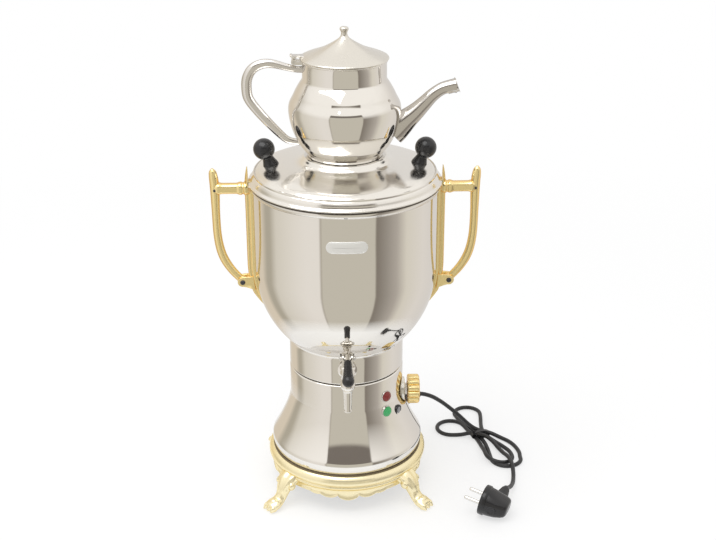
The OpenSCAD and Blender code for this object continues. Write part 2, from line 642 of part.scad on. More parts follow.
module teapot_spout() color(chrome) {
    sides = 20;
    outer = spout_places(sides, 0);
    inner = spout_places(sides, pot_sheet);
    m = len(outer);
    walls = [for (i = [0:m / sides - 2]) for (k = [0:sides - 1]) let (j = (k + 1) % sides)
        [i * sides + k, i * sides + j, (i + 1) * sides + j, (i + 1) * sides + k]];
    bore = [for (f = walls) [m + f[3], m + f[2], m + f[1], m + f[0]]];
    root = [for (k = [0:sides - 1]) let (j = (k + 1) % sides) [m + k, m + j, j, k]];
    mouth = [for (k = [0:sides - 1]) let (j = (k + 1) % sides, e = m - sides)
        [e + k, e + j, m + e + j, m + e + k]];
    polyhedron(concat(outer, inner), concat(walls, bore, root, mouth), convexity = 6);
}
loop_path = [
    [-42, 0, 509], [-52, 0, 509.2], [-64, 0, 512], [-79, 0, 515.6], [-90, 0, 514.8],
    [-99.5, 0, 509.5], [-105, 0, 500], [-106.2, 0, 489], [-104.5, 0, 477.5],
    [-96.7, 0, 465.5], [-84.4, 0, 450.8], [-71, 0, 436.6], [-63, 0, 430], [-53, 0, 427.5],
    [-44, 0, 427]];
loop_size = [
    [3, 4], [3, 4], [3.2, 4.4], [3.8, 5], [4.4, 5.4], [5, 5.6], [5.3, 5.6], [5.4, 5.6],
    [5.2, 5.6], [4.6, 5.4], [4, 5], [3.4, 4.6], [3, 4.2], [2.9, 3.8], [2.9, 3.6]];
module teapot_handle() color(chrome) difference() {
    swept(smooth(loop_path, 2), smooth(loop_size, 2), 14, [0, 1, 0]);
    pot_core();
}
hinge_x = -54.3;
hinge_z = 518.4;
module hinge_bracket() color(chrome) difference() {
    union() {
        for (y = [-7.6, 4.4]) translate([hinge_x, y + 3.2, hinge_z]) rotate([90, 0, 0])
            cylinder(r = 3, h = 3.2);
        for (y = [-7.6, 4.4]) translate([hinge_x, y, hinge_z - 3]) cube([10, 3.2, 3.4]);
    }
    pot_core();
    translate([hinge_x, 20, hinge_z]) rotate([90, 0, 0]) cylinder(r = 1.2, h = 40);
}
module hinge_pin() color([0.6, 0.6, 0.6]) translate([hinge_x, 8.6, hinge_z])
    rotate([90, 0, 0]) cylinder(r = 1.2, h = 17.2);
lid_edge_z = pot_rim_z + 0.3;
pot_lid_outline = [
    [48, lid_edge_z], [48.4, lid_edge_z + 0.6], [47.4, lid_edge_z + 1.9],
    [42, lid_edge_z + 4.4], [34, lid_edge_z + 7.2], [24, lid_edge_z + 11.2],
    [14, lid_edge_z + 16.6], [6, lid_edge_z + 22], [5, lid_edge_z + 23],
    [3.5, lid_edge_z + 26], [3.3, lid_edge_z + 28], [4.8, lid_edge_z + 31],
    [4.8, lid_edge_z + 32.6], [3.6, lid_edge_z + 34], [0.01, lid_edge_z + 34.6]];
module teapot_lid() color(chrome) {
    difference() {
        turned(walled([for (i = [0:7]) pot_lid_outline[i]], pot_sheet));
        translate([0, 0, lid_edge_z]) cylinder(r = 5.4, h = 40);
    }
    turned(concat([[0.01, lid_edge_z + 20.4], [6.2, lid_edge_z + 20.4]],
        [for (i = [7:14]) pot_lid_outline[i]]));
    difference() {
        translate([0, 0, pot_rim_z - 6]) cylinder(r = 44.4, h = 9);
        translate([0, 0, pot_rim_z - 7]) cylinder(r = 43.4, h = 12);
    }
}
module lid_leaf() color(chrome) difference() {
    union() {
        translate([hinge_x, 4, hinge_z]) rotate([90, 0, 0]) cylinder(r = 3, h = 8);
        translate([hinge_x - 4.5, -6, hinge_z + 4.6]) cube([14.5, 12, 1.6]);
        translate([hinge_x - 1.5, -4, hinge_z]) cube([3, 8, 5]);
    }
    turned(closed_to_axis([for (i = [0:7]) pot_lid_outline[i]]));
    translate([hinge_x, 20, hinge_z]) rotate([90, 0, 0]) cylinder(r = 1.2 + gap, h = 40);
}

// ---------- mains cord, hank and plug ----------

exit_r = bell_at(exit_z);
gland_out = 24;      // length of the gland's sleeve outside the bell
function on_bearing(r, z) = [r * cos(exit_turn), r * sin(exit_turn), z];
module cord_gland() color(black) difference() {
    union() {
        difference() {
            on_exit() union() {
                translate([0, 0, -8]) cylinder(r = 9, h = 13);
                translate([0, 0, 4]) cylinder(r1 = 5.8, r2 = 4.2, h = gland_out - 4);
            }
            bell_core();
        }
        on_exit() translate([0, 0, -14]) cylinder(r = 5.5, h = 16);
        on_exit() translate([0, 0, -17]) cylinder(r = 8.5, h = 4);
    }
    on_exit() translate([0, 0, -20]) cylinder(r = cord_d / 2, h = gland_out + 24);
}
hank_h = 10.6;
cord_route = [
    on_bearing(exit_r - 14, exit_z), on_bearing(exit_r, exit_z),
    on_bearing(exit_r + 12, exit_z), on_bearing(exit_r + gland_out, exit_z - 0.5),
    [105.5, 60, 73.5], [118, 68.5, 62], [131, 76, 48], [145, 80.5, 33], [158, 83, 18.5],
    [167.5, 83.6, 11], [176, 82.7, 8]];
module cord_lead() color(black) {
    route = smooth(cord_route, 3);
    swept(route, [for (p = route) [cord_d / 2, cord_d / 2]], 10, [0, 0, 1]);
}
module slot(from, to, r) {
    turn = atan2(to[1] - from[1], to[0] - from[0]);
    polygon(concat(ellipse_arc(from, [r, r], turn + 90, turn + 270, 12),
        ellipse_arc(to, [r, r], turn - 90, turn + 90, 12)));
}
hank_far = [162.5, 137];
hank_end = [199.5, 25];
hank_loop = [137.5, 100.5];
hank_waist = [170, 87];
module cord_hank() color(black) linear_extrude(hank_h) {
    slot(hank_far, hank_end, 20.5);
    slot(hank_waist, hank_loop, 20.5);
}
plug_at = [156, -91, 19.3];
plug_turn = 155;     // bearing of the pins, from +X
plug_lift = 11;      // how far the pins point above level, in degrees
neck_at = -18;       // the cable leaves the plug this far behind its face
neck_len = 38;
module on_plug() translate(plug_at) rotate([0, 0, plug_turn]) rotate([0, -plug_lift, 0])
    children();
module plug_body() color(black) on_plug() difference() {
    union() {
        rotate([0, 90, 0]) turned([[0, 0], [17.4, 0], [18.4, -1], [18.4, -7], [17, -9],
            [14, -22], [12.4, -27], [9, -30], [0, -31]]);
        translate([neck_at, 0, 0]) rotate([90, 0, 0]) cylinder(r1 = 8.4, r2 = 4.2, h = neck_len);
    }
    for (s = [-1, 1]) translate([-14, -3, s * 18 - 2]) cube([15, 6, 4]);
    translate([neck_at, -neck_len + 16, 0]) rotate([90, 0, 0]) cylinder(r = cord_d / 2, h = 20);
}
module plug_pins() color([0.75, 0.75, 0.75]) on_plug() for (y = [-9.5, 9.5])
    translate([0, y, 0]) rotate([0, 90, 0]) cylinder(r = 2.4, h = 19);
tail_route = [
    [203.4, 9, 8], [204.2, -3, 7], [203.4, -16, 3.8], [200.4, -33, 4.4], [196, -48, 8.2],
    [188.6, -63, 15]];
module cord_tail() color(black) {
    route = smooth(tail_route, 3);
    swept(route, [for (p = route) [cord_d / 2, cord_d / 2]], 10, [0, 0, 1]);
}

base_casting();
foot_pads();
base_plate();
tie_rod();
tie_nut();
bell_shell();
neck_gasket();
boiler_shell();
name_plate();
heating_element();
element_seals();
element_nuts();
heater_wires();
sensor_bulb();
sensor_clip();
terminal_block();
wiring_bracket();
thermostat_body();
thermostat_nut();
thermostat_bezel();
thermostat_spindle();
thermostat_knob();
red_lamp();
green_lamp();
lamp_holders();
reset_housing();
reset_button();
left_bracket();
left_grip();
right_bracket();
right_grip();
handle_screws();
tap_body();
tap_flange();
tap_washers();
tap_backnut();
tap_bonnet();
tap_pin();
tap_lever();
tap_grip();
tap_plunger();
tap_spring();
boiler_lid();
lid_locating_ring();
teapot_rest();
lid_knobs();
lid_knob_screws();
teapot_body();
teapot_spout();
teapot_handle();
hinge_bracket();
hinge_pin();
teapot_lid();
lid_leaf();
cord_gland();
cord_lead();
cord_hank();
cord_tail();
plug_body();
plug_pins();
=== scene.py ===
# %% [markdown]
# # An electric samovar with its teapot
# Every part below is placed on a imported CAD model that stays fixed. The first cell loads it.
# All lengths in the tables are millimetres, as a workshop drawing gives them, and one factor
# turns them into Blender's metres.

# %% Load the fixed frame
import json
import math

import bmesh
import bpy
from mathutils import Matrix, Vector


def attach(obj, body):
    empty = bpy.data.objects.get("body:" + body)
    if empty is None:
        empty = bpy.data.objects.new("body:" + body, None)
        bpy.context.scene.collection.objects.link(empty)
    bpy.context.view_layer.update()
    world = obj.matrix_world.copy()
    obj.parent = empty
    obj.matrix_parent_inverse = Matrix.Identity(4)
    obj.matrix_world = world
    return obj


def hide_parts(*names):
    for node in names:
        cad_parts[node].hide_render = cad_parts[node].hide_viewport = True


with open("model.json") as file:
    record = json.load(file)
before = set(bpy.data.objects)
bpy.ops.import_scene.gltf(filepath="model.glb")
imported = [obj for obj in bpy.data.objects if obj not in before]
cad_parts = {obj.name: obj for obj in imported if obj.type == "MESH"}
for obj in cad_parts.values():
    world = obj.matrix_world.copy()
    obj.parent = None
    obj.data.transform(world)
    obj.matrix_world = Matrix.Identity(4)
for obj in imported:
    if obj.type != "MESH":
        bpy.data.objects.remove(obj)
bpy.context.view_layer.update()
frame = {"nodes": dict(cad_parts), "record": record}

MM = 0.001


# %% [markdown]
# A product camera looks slightly down on a samovar, so the lid, the tap and the feet all show.
# It could be placed by eye, but a camera is only three facts: where it stands, how far it tips,
# and how long its lens is. Written as turns about the pot's own axis, each can be read and changed.

# %% The camera
CAMERA_BACK = 1359.13
CAMERA_UP = 858.87
CAMERA_TIP = 66.6711
CAMERA_ROLL = -0.54268
CAMERA_PAN = -0.39402
CAMERA_ROUND = -0.8


def placed(name, data):
    """A new object in the scene."""
    obj = bpy.data.objects.new(name, data)
    bpy.context.scene.collection.objects.link(obj)
    return obj


def shift(x, y, z):
    return Matrix.Translation((x, y, z))


def turn_by(degrees, axis):
    return Matrix.Rotation(math.radians(degrees), 4, axis)


camera_data = bpy.data.cameras.new("camera")
camera_data.lens = 64.64
camera_data.sensor_width = 36
camera_data.clip_end = 50
camera = placed("camera", camera_data)
camera.matrix_world = (
    turn_by(CAMERA_ROUND, "Z")
    @ shift(0, -CAMERA_BACK * MM, CAMERA_UP * MM)
    @ turn_by(CAMERA_TIP, "X")
    @ turn_by(CAMERA_ROLL, "Y")
    @ turn_by(CAMERA_PAN, "Z")
)
bpy.context.scene.camera = camera
print("camera stands", round(camera.location.length, 3), "m from the foot of the pot")


# %% [markdown]
# Almost every piece here is made from a line of points: the wall of a bowl, the run of a handle,
# the path of the lead. Listed points give the shape, and a curve through them gives the smoothness, so each
# line stays short enough to read.

# %% Lines through points
def smooth_line(points, steps):
    """Points on a smooth line through the given ones, so many steps for each stretch."""
    line = []
    last = len(points) - 1
    for i in range(last):
        a, b, c, d = (Vector(points[max(0, min(k, last))]) for k in (i - 1, i, i + 1, i + 2))
        for k in range(steps):
            t = k / steps
            line.append(0.5 * (2 * b + (c - a) * t + (2 * a - 5 * b + 4 * c - d) * t * t
                               + (3 * b - a - 3 * c + d) * t ** 3))
    line.append(Vector(points[last]))
    return [tuple(p) for p in line]


def arc(centre, radii, start, stop, steps):
    """Points on an ellipse in the plane, from one angle in degrees to another."""
    line = []
    for i in range(steps + 1):
        a = math.radians(start + (stop - start) * i / steps)
        line.append((centre[0] + radii[0] * math.cos(a), centre[1] + radii[1] * math.sin(a)))
    return line


print("a quarter turn in six steps has", len(arc((0, 0), (1, 1), 0, 90, 6)), "points")


# %% [markdown]
# The mains lead is a round rubber cable 5.2 mm thick. It leaves the bell through a sleeve, drops to
# the table and is folded into a hank with four loops, as it comes out of its box. A cable is stiff:
# it never bends tighter than three of its own thicknesses at a fold, and where it crosses itself it
# climbs over in a long low hump. So its route is drawn the way the cable would lie, with round folds.
# A place with two numbers lies on the table.

# %% The lead's route
CORD_THICK = 5.2
ON_TABLE = 2.7
cord_exit = (71.0, 41.0, 81.0)


def fold(centre, radius, start, stop, steps, low=ON_TABLE, high=ON_TABLE):
    """Points round a fold of the lead, which climbs from low to high on the way."""
    flat = arc(centre, (radius, radius), start, stop, steps)
    return [(x, y, low + (high - low) * i / steps) for i, (x, y) in enumerate(flat)]


to_the_tie = [
    (58.9, 34, 81), (71, 41, 81), (81.4, 47, 81), (91.8, 53, 80.5), (105.5, 60, 73.5), (118, 68.5, 62),
    (131, 76, 48), (145, 80.5, 33), (158, 83, 18.5), (167.5, 83.6, 11), (177, 82.5, 8),
]
outer_loop = [
    (187.5, 79.6, 6.2), (198.5, 74, 3.2), (208, 65), (214.5, 53), (218, 39),
    *fold((199.5, 24), 18.6, 10, -172, 7), (180, 36), (179, 49), (177.2, 61), (174.3, 72),
]
far_loop = [
    (170.6, 83), (165.8, 94), (159.5, 105), (151.5, 117),
    *fold((162.5, 137), 17, 205, 0, 8), (179, 124), (177.8, 111), (177.5, 98), (179.5, 86),
]
inner_loop = [
    (184, 75), (191, 64), (199, 53), (205.8, 41), *fold((191, 28.5), 17, 5, -40, 2),
    *fold((191, 28.5), 17, -70, -160, 3, 3.8, 8),
    (173.4, 36, 7.4), (172.3, 48, 4.6), (170.8, 60, 2.9), (168, 72),
]
near_loop = [
    (163.6, 84), (158.6, 95), *fold((137.5, 100.5), 18, 15, 270, 10), (149, 82.2, 3.2), (160, 80.2, 6.4),
]
to_the_plug = [
    (170.5, 75.5, 8), (180.5, 68.5, 7.8), (187.5, 59, 6), (192.5, 47, 4.4), (197, 34, 5), (201, 21, 7.6),
    (203.4, 10, 8), (204.2, -1, 7.4), (203.8, -13, 4.4), (202, -26, 3.2), (199, -39, 5.6),
    (194.5, -52, 9.8), (188.6, -63, 15),
]
cord_route = [
    place if len(place) == 3 else (*place, ON_TABLE)
    for place in to_the_tie + outer_loop + far_loop + inner_loop + near_loop + to_the_plug
]
print("the lead's route:", len(cord_route), "hand-set places")


# %% [markdown]
# The cable itself could be a tube of mesh rings. A curve with a round bevel is simpler: Blender draws the
# rubber round it, and its centre line stays, so its length can be measured. Each point carries the radius.

# %% The lead
cord_line = smooth_line(cord_route, 4)
cord_data = bpy.data.curves.new("mains_lead", "CURVE")
cord_data.dimensions = "3D"
cord_data.bevel_depth = 1.0
cord_data.bevel_resolution = 5
cord_data.use_fill_caps = True
cord_spline = cord_data.splines.new("POLY")
cord_spline.points.add(len(cord_line) - 1)
for point, place in zip(cord_spline.points, cord_line):
    point.co = (*(c * MM for c in place), 1)
    point.radius = CORD_THICK / 2 * MM
cord_spline.use_smooth = True
mains_lead = placed("mains_lead", cord_data)
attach(mains_lead, "base")
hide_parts("cord_lead", "cord_hank", "cord_tail")


# %% [markdown]
# A finish and a sky are both made of small nodes wired together. They could be wired one by one, but that
# takes a line for every wire. One helper makes a node with its first inputs already wired or set, and the
# other helpers build on it, so each finish stays short.

# %% Helpers for node trees
WHITE = (1, 1, 1, 1)


def node(tree, kind, *sources, **settings):
    """A new node. Its first inputs are wired to the given sockets or set to the given values."""
    made = tree.nodes.new(kind)
    for key, value in settings.items():
        setattr(made, key, value)
    for place, source in enumerate(sources):
        if isinstance(source, bpy.types.NodeSocket):
            tree.links.new(source, made.inputs[place])
        else:
            made.inputs[place].default_value = source
    return made


def result(tree, kind, *sources, **settings):
    """The first output of a new node."""
    return node(tree, kind, *sources, **settings).outputs[0]


def maths(tree, operation, *values):
    """One step of arithmetic between sockets or numbers."""
    return result(tree, "ShaderNodeMath", *values, operation=operation)


def either(tree, factor, first, second):
    """One shader or the other, by a factor."""
    return result(tree, "ShaderNodeMixShader", factor, first, second)


def ramp(tree, factor, stops, position=float):
    """A ramp with stops of (place, colour or grey), each place turned into a position from 0 to 1."""
    made = node(tree, "ShaderNodeValToRGB", factor)
    points = made.color_ramp.elements
    while len(points) < len(stops):
        points.new(0.5)
    for point, (place, colour) in zip(points, stops):
        point.position = position(place)
        point.color = (*colour, 1) if isinstance(colour, tuple) else (colour, colour, colour, 1)
    return made.outputs[0]


def mixed(tree, factor, first, second):
    """A colour socket mixed with a fixed colour, by a factor."""
    made = node(tree, "ShaderNodeMix", factor, data_type="RGBA")
    tree.links.new(first, made.inputs[6])
    made.inputs[7].default_value = (*second, 1)
    return made.outputs[2]


print("node helpers: node, result, maths, either, ramp, mixed")


# %% [markdown]
# A mirror finish has no colour of its own: it shows the room. A photographer surrounds a polished pot
# with big pale cards and leaves one dull opening, where the camera stands, and that opening is the
# soft grey-beige window on every curve. The room could be built from panels, but panels get in the way
# of other views. Painting it on the sky by direction gives the same picture from everywhere, and only
# the rays that bounce off shiny surfaces see it. All other rays get plain white light.

# %% The room that polished metal sees
CARD_WHITE = (0.84, 0.80, 0.755)
CARD_CREAM = (0.74, 0.70, 0.62)
CARD_WARM = (0.80, 0.71, 0.58)
CARD_COOL = (0.78, 0.76, 0.74)
CARD_SEAM = (0.50, 0.46, 0.38)
OPENING_GREY = (0.585, 0.55, 0.476)
OPENING_RIM = (0.36, 0.32, 0.27)
CURTAIN_DARK = (0.235, 0.205, 0.175)
CURTAIN_MID = (0.33, 0.30, 0.265)
CURTAIN_PALE = (0.46, 0.42, 0.38)
LINTEL_DARK = (0.20, 0.175, 0.155)
CEILING = (0.99, 0.96, 0.92)
ROOM_LIGHT = 0.72


def turn_at(degrees):
    """Where a bearing sits on the ramps: 0 is straight behind, 0.5 is towards the camera."""
    return 0.5 + degrees / 360


def height_at(degrees):
    """Where an elevation sits on the ramps: 0.5 is level."""
    return 0.5 + 0.5 * math.sin(math.radians(degrees))


world = bpy.data.worlds.new("studio")
bpy.context.scene.world = world
world.use_nodes = True
sky = world.node_tree
sky.nodes.clear()
where = node(sky, "ShaderNodeTexCoord").outputs["Generated"]
split = node(sky, "ShaderNodeSeparateXYZ", where).outputs
bearing = maths(sky, "ARCTAN2", split[0], maths(sky, "MULTIPLY", split[1], -1.0))
turn = maths(sky, "MULTIPLY_ADD", bearing, 1 / (2 * math.pi), 0.5)
height = maths(sky, "MULTIPLY_ADD", split[2], 0.5, 0.5)
walls = ramp(sky, turn, [
    (-180, CARD_COOL), (-150, CARD_WARM), (-128, CARD_WARM), (-116, CARD_SEAM), (-108, CARD_SEAM),
    (-96, CARD_CREAM), (-50, CARD_WHITE), (-33, CARD_WHITE), (-31.6, OPENING_RIM), (-29.8, OPENING_GREY),
    (35.5, OPENING_GREY), (37, CURTAIN_DARK), (50, CURTAIN_MID), (65, CURTAIN_PALE), (80, CARD_CREAM),
    (110, CARD_WHITE), (180, CARD_COOL),
], turn_at)
upper = ramp(sky, height, [(2, 0), (26, 0.95)], height_at)
above = ramp(sky, height, [(-90, 0), (31, 0), (34, 1), (90, 1)], height_at)
lintel = ramp(sky, height, [(-90, 0), (18.5, 0), (21, 1), (30.5, 1), (33, 0)], height_at)
in_front = ramp(sky, turn, [(-32, 0), (-31, 1), (36, 1), (37, 0)], turn_at)
beside = ramp(sky, turn, [
    (-150, 0), (-115, 1), (-32, 1), (-31, 0), (36, 0), (37, 1), (115, 1), (150, 0)], turn_at)
walls = mixed(sky, maths(sky, "MULTIPLY", upper, beside), walls, CEILING)
room = mixed(sky, above, walls, CEILING)
room = mixed(sky, maths(sky, "MULTIPLY", lintel, in_front), room, LINTEL_DARK)

rays = node(sky, "ShaderNodeLightPath").outputs
shiny = maths(sky, "MAXIMUM", rays["Is Glossy Ray"], rays["Is Transmission Ray"])
plain = result(sky, "ShaderNodeBackground", WHITE, ROOM_LIGHT)
mirrored = result(sky, "ShaderNodeBackground", room, 1.0)
seen = result(sky, "ShaderNodeBackground", WHITE, 1.0)
light = either(sky, rays["Is Camera Ray"], either(sky, shiny, plain, mirrored), seen)
node(sky, "ShaderNodeOutputWorld", light)
bpy.context.scene.view_settings.view_transform = "Standard"
print("room painted with", len(sky.nodes), "nodes")


# %% [markdown]
# One big softbox hangs over the table, a little towards the camera and to the left. It gives the black
# knobs and the gold their soft highlights and puts a faint shadow under the feet. A small lamp would make
# hard dots and dark shadows, so the light is a wide rectangle.

# %% The softbox
softbox_data = bpy.data.lights.new("softbox", "AREA")
softbox_data.shape = "RECTANGLE"
softbox_data.size = 1.6
softbox_data.size_y = 1.2
softbox_data.energy = 14
softbox = placed("softbox", softbox_data)
softbox.location = (-0.5, -0.5, 1.9)
aimed_at = Vector((0, 0, 0.3))
softbox.rotation_euler = (aimed_at - softbox.location).to_track_quat("-Z", "Y").to_euler()
print("softbox", round(softbox_data.size, 2), "x", round(softbox_data.size_y, 2), "m")


# %% [markdown]
# The table is a white sheet. To the camera it should be nearly pure white and still carry the pot's
# soft shadow, so near the pot its shader is part glow and part matt white, and it fades into pure white
# further out, where there is no shadow to show. Polished metal sees only the round of it that lies near
# the pot: beyond that, its rays pass through the sheet and see the room.

# %% The table
TABLE_HALF = 20.0
TABLE_DISC = 0.25
TABLE_FADE = 0.05
FAR_STARTS = 0.3
FAR_WHITE = 1.3

table_mesh = bpy.data.meshes.new("table")
table_corners = [(x * TABLE_HALF, y * TABLE_HALF, 0) for x, y in ((-1, -1), (1, -1), (1, 1), (-1, 1))]
table_mesh.from_pydata(table_corners, [], [(0, 1, 2, 3)])
table = placed("table", table_mesh)
table_paint = bpy.data.materials.new("white_table")
table_paint.use_nodes = True
sheet = table_paint.node_tree
sheet.nodes.clear()
matt = result(sheet, "ShaderNodeBsdfDiffuse", (0.86, 0.86, 0.85, 1))
half_matt = result(sheet, "ShaderNodeBsdfDiffuse", (0.42, 0.42, 0.42, 1))
glow = result(sheet, "ShaderNodeEmission", WHITE, 0.62)
near_lit = result(sheet, "ShaderNodeAddShader", glow, half_matt)
far_lit = result(sheet, "ShaderNodeEmission", WHITE, 1.0)
here = result(sheet, "ShaderNodeNewGeometry")
from_pot = node(sheet, "ShaderNodeVectorMath", here, operation="LENGTH").outputs["Value"]
far_off = result(sheet, "ShaderNodeMapRange", from_pot, FAR_STARTS, FAR_WHITE)
beyond = result(sheet, "ShaderNodeMapRange", from_pot, TABLE_DISC - TABLE_FADE, TABLE_DISC + TABLE_FADE)
rays = node(sheet, "ShaderNodeLightPath").outputs
looked_at = maths(sheet, "MAXIMUM", rays["Is Camera Ray"], rays["Is Glossy Ray"])
mirror_beyond = maths(sheet, "MULTIPLY", beyond, rays["Is Glossy Ray"])
paper = either(sheet, looked_at, matt, either(sheet, far_off, near_lit, far_lit))
paper = either(sheet, mirror_beyond, paper, result(sheet, "ShaderNodeBsdfTransparent"))
node(sheet, "ShaderNodeOutputMaterial", paper)
table_mesh.materials.append(table_paint)
print("table", 2 * TABLE_HALF, "m wide; polished metal sees it out to", TABLE_DISC, "m")


# %% [markdown]
# Spun and polished stainless steel is smooth but never flat: slow waves left by the spinning tool bend
# its reflections a little, and wiping leaves faint streaks that change its gloss. A low wide noise on
# the bump and a fine noise on the roughness give both. Towards the edges of a round shape, where the metal
# turns away from the eye, a second, deeper colour takes over: painted shade, on the gold most of all.

# %% Metal finishes
finish_of = {}


def new_finish(name):
    """A new material, kept under its name, with its tree and its shader."""
    finish = bpy.data.materials.new(name)
    finish.use_nodes = True
    finish_of[name] = finish
    tree = finish.node_tree
    return tree, next(n for n in tree.nodes if n.type == "BSDF_PRINCIPLED")


def noise(tree, scale, detail):
    """Noise in the piece's own space, in blobs per metre."""
    made = node(tree, "ShaderNodeTexNoise", node(tree, "ShaderNodeTexCoord").outputs["Object"])
    made.inputs["Scale"].default_value = scale
    made.inputs["Detail"].default_value = detail
    return made.outputs["Fac"]


def surfaced(tree, shader, streaks, gloss_low, gloss_high, relief, deep_mm):
    """Roughness that wanders between two values, and relief so many millimetres deep."""
    rough = result(tree, "ShaderNodeMapRange", streaks, 0.3, 0.7, gloss_low, gloss_high)
    tree.links.new(rough, shader.inputs["Roughness"])
    bump = node(tree, "ShaderNodeBump")
    bump.inputs["Strength"].default_value = 1.0
    bump.inputs["Distance"].default_value = deep_mm * MM
    tree.links.new(relief, bump.inputs["Height"])
    tree.links.new(bump.outputs[0], shader.inputs["Normal"])


def metal(name, colour, gloss_low, gloss_high, wave_size, wave_deep, bare=1.0, edge=None):
    """Metal: colour, range of roughness, slow waves, how bare of lacquer it is, and a darker colour painted
    at its edges as shade.
    """
    tree, shader = new_finish(name)
    shader.inputs["Metallic"].default_value = bare
    shader.inputs["Base Color"].default_value = (*colour, 1)
    # The edge colour is painted shade: a darker colour towards the edges, where a round surface turns away.
    if edge:
        facing = node(tree, "ShaderNodeLayerWeight", 0.45).outputs["Facing"]
        tree.links.new(ramp(tree, facing, [(0.2, colour), (0.75, edge)]), shader.inputs["Base Color"])
    streaks = noise(tree, 160, 4)
    surfaced(tree, shader, streaks, gloss_low, gloss_high, noise(tree, 1000 / wave_size, 1), wave_deep)


# Each edge colour below is painted shade at the edges of round shapes.
metal("mirror_steel", (0.88, 0.86, 0.82), 0.035, 0.07, 70, 0.25, edge=(0.74, 0.715, 0.68))
metal("satin_steel", (0.72, 0.71, 0.69), 0.22, 0.34, 20, 0.03)
metal("pale_gold", (1.0, 0.90, 0.60), 0.2, 0.28, 40, 0.05, 0.74, (0.93, 0.76, 0.36))
metal("rich_gold", (1.0, 0.83, 0.42), 0.15, 0.22, 60, 0.03, 0.86, (0.86, 0.48, 0.09))
metal("pin_metal", (0.80, 0.79, 0.77), 0.16, 0.26, 10, 0.01)
metal("copper", (0.80, 0.45, 0.30), 0.2, 0.32, 10, 0.02)
metal("dial_plate", (0.80, 0.78, 0.72), 0.2, 0.3, 10, 0.01)
finish_of["gold"] = finish_of["rich_gold"]
print("metal finishes:", ", ".join(finish_of))


# %% [markdown]
# The black pieces are moulded: hard glossy plastic on the tap's grip and the lid's knobs, softer rubber
# on the lead. Moulded plastic has a very fine orange-peel skin and is a touch duller where it is handled.

# %% Plastics, rubber and lenses
CLOUDY = 0.12


def moulded(name, colour, gloss_low, gloss_high, grain_size, grain_deep):
    """Plastic or rubber: colour with slight cloudiness, its range of roughness and a fine skin."""
    tree, shader = new_finish(name)
    pale = tuple(min(1, c * (1 + CLOUDY) + 0.004) for c in colour)
    deep = tuple(c * (1 - CLOUDY) for c in colour)
    clouds = ramp(tree, noise(tree, 60, 3), [(0.3, deep), (0.7, pale)])
    tree.links.new(clouds, shader.inputs["Base Color"])
    streaks = noise(tree, 200, 4)
    surfaced(tree, shader, streaks, gloss_low, gloss_high, noise(tree, 1000 / grain_size, 2), grain_deep)


moulded("black_plastic", (0.018, 0.018, 0.02), 0.16, 0.26, 1.2, 0.006)
moulded("black_rubber", (0.022, 0.022, 0.024), 0.36, 0.5, 0.8, 0.01)
moulded("grey_plastic", (0.33, 0.33, 0.34), 0.3, 0.4, 1.0, 0.006)
moulded("white_plastic", (0.74, 0.73, 0.69), 0.3, 0.4, 1.0, 0.006)
moulded("seal_rubber", (0.10, 0.09, 0.08), 0.45, 0.6, 1.0, 0.01)
moulded("wire_sleeve", (0.50, 0.05, 0.04), 0.4, 0.5, 1.0, 0.006)
moulded("dark_sheet", (0.06, 0.06, 0.065), 0.35, 0.5, 2.0, 0.02)
moulded("red_lens", (0.27, 0.03, 0.028), 0.1, 0.16, 2.0, 0.004)
moulded("green_lens", (0.06, 0.46, 0.15), 0.1, 0.16, 2.0, 0.004)
print("finishes:", len(finish_of))


# %% [markdown]
# Each CAD node already names the finish it is made in. Giving its object that finish here means that
# even the pieces inside the pot are right when the lid is off.

# %% Finish on every node
slot_of = {part["node"]: part["material_slot"] for part in frame["record"]["subparts"]}


def smoothed(obj, sharp):
    """Smooth shading, but not across edges sharper than so many degrees."""
    for face in obj.data.polygons:
        face.use_smooth = True
    obj.data.set_sharp_from_angle(angle=math.radians(sharp))


for name, obj in frame["nodes"].items():
    obj.data.materials.clear()
    obj.data.materials.append(finish_of[slot_of[name]])
    smoothed(obj, 32)
cord_data.materials.append(finish_of["black_rubber"])
print("finished", len(frame["nodes"]), "nodes and the lead")


# %% [markdown]
# Boiler, bell, lid and teapot are all spun or turned, so each is one outline spun about the pot's axis.
# A plain cylinder would have one sharp edge where the real sheet is rolled over. An outline with small
# round corners costs nothing more and catches the light as the metal does.

# %% Outlines and turned parts
def outward(line, i):
    """Direction away from the metal at one point of an outline that runs upwards."""
    before = line[max(i - 1, 0)]
    after = line[min(i + 1, len(line) - 1)]
    step = Vector((after[1] - before[1], before[0] - after[0]))
    return step.normalized()


def walled(line, thick):
    """A closed outline: the line, and the same line one sheet's thickness further in."""
    inside = []
    for i in reversed(range(len(line))):
        push = outward(line, i) * thick
        inside.append((max(0.0, line[i][0] - push.x), line[i][1] - push.y))
    return list(line) + inside


def round_ring(count, radius, up, skew=0):
    """Points round a level ring. The radius is a number, or is worked out from the angle."""
    ring = []
    for k in range(count):
        a = 2 * math.pi * k / count + skew
        r = radius(a) if callable(radius) else radius
        ring.append((r * math.cos(a), r * math.sin(a), up))
    return ring


def spun(outline, sides=192):
    """Corners and faces of a closed outline of (radius, height) spun about the upright axis."""
    corners = []
    rings = []
    for radius, up in outline:
        count = sides if radius >= 0.02 else 1
        rings.append([len(corners) + k for k in range(count)])
        corners += round_ring(sides, radius, up) if count > 1 else [(0, 0, up)]
    faces = []
    for lower, upper in zip(rings, rings[1:] + rings[:1]):
        if len(lower) == 1 and len(upper) == 1:
            continue
        for k in range(sides):
            m = (k + 1) % sides
            if len(lower) == 1:
                faces.append((lower[0], upper[m], upper[k]))
            elif len(upper) == 1:
                faces.append((lower[k], lower[m], upper[0]))
            else:
                faces.append((lower[k], lower[m], upper[m], upper[k]))
    return corners, faces


def moved(part, *steps):
    """The same part after some matrices, the last one first."""
    whole = Matrix.Identity(4)
    for step in steps:
        whole = whole @ step
    corners, faces = part
    return [tuple(whole @ Vector(c)) for c in corners], faces


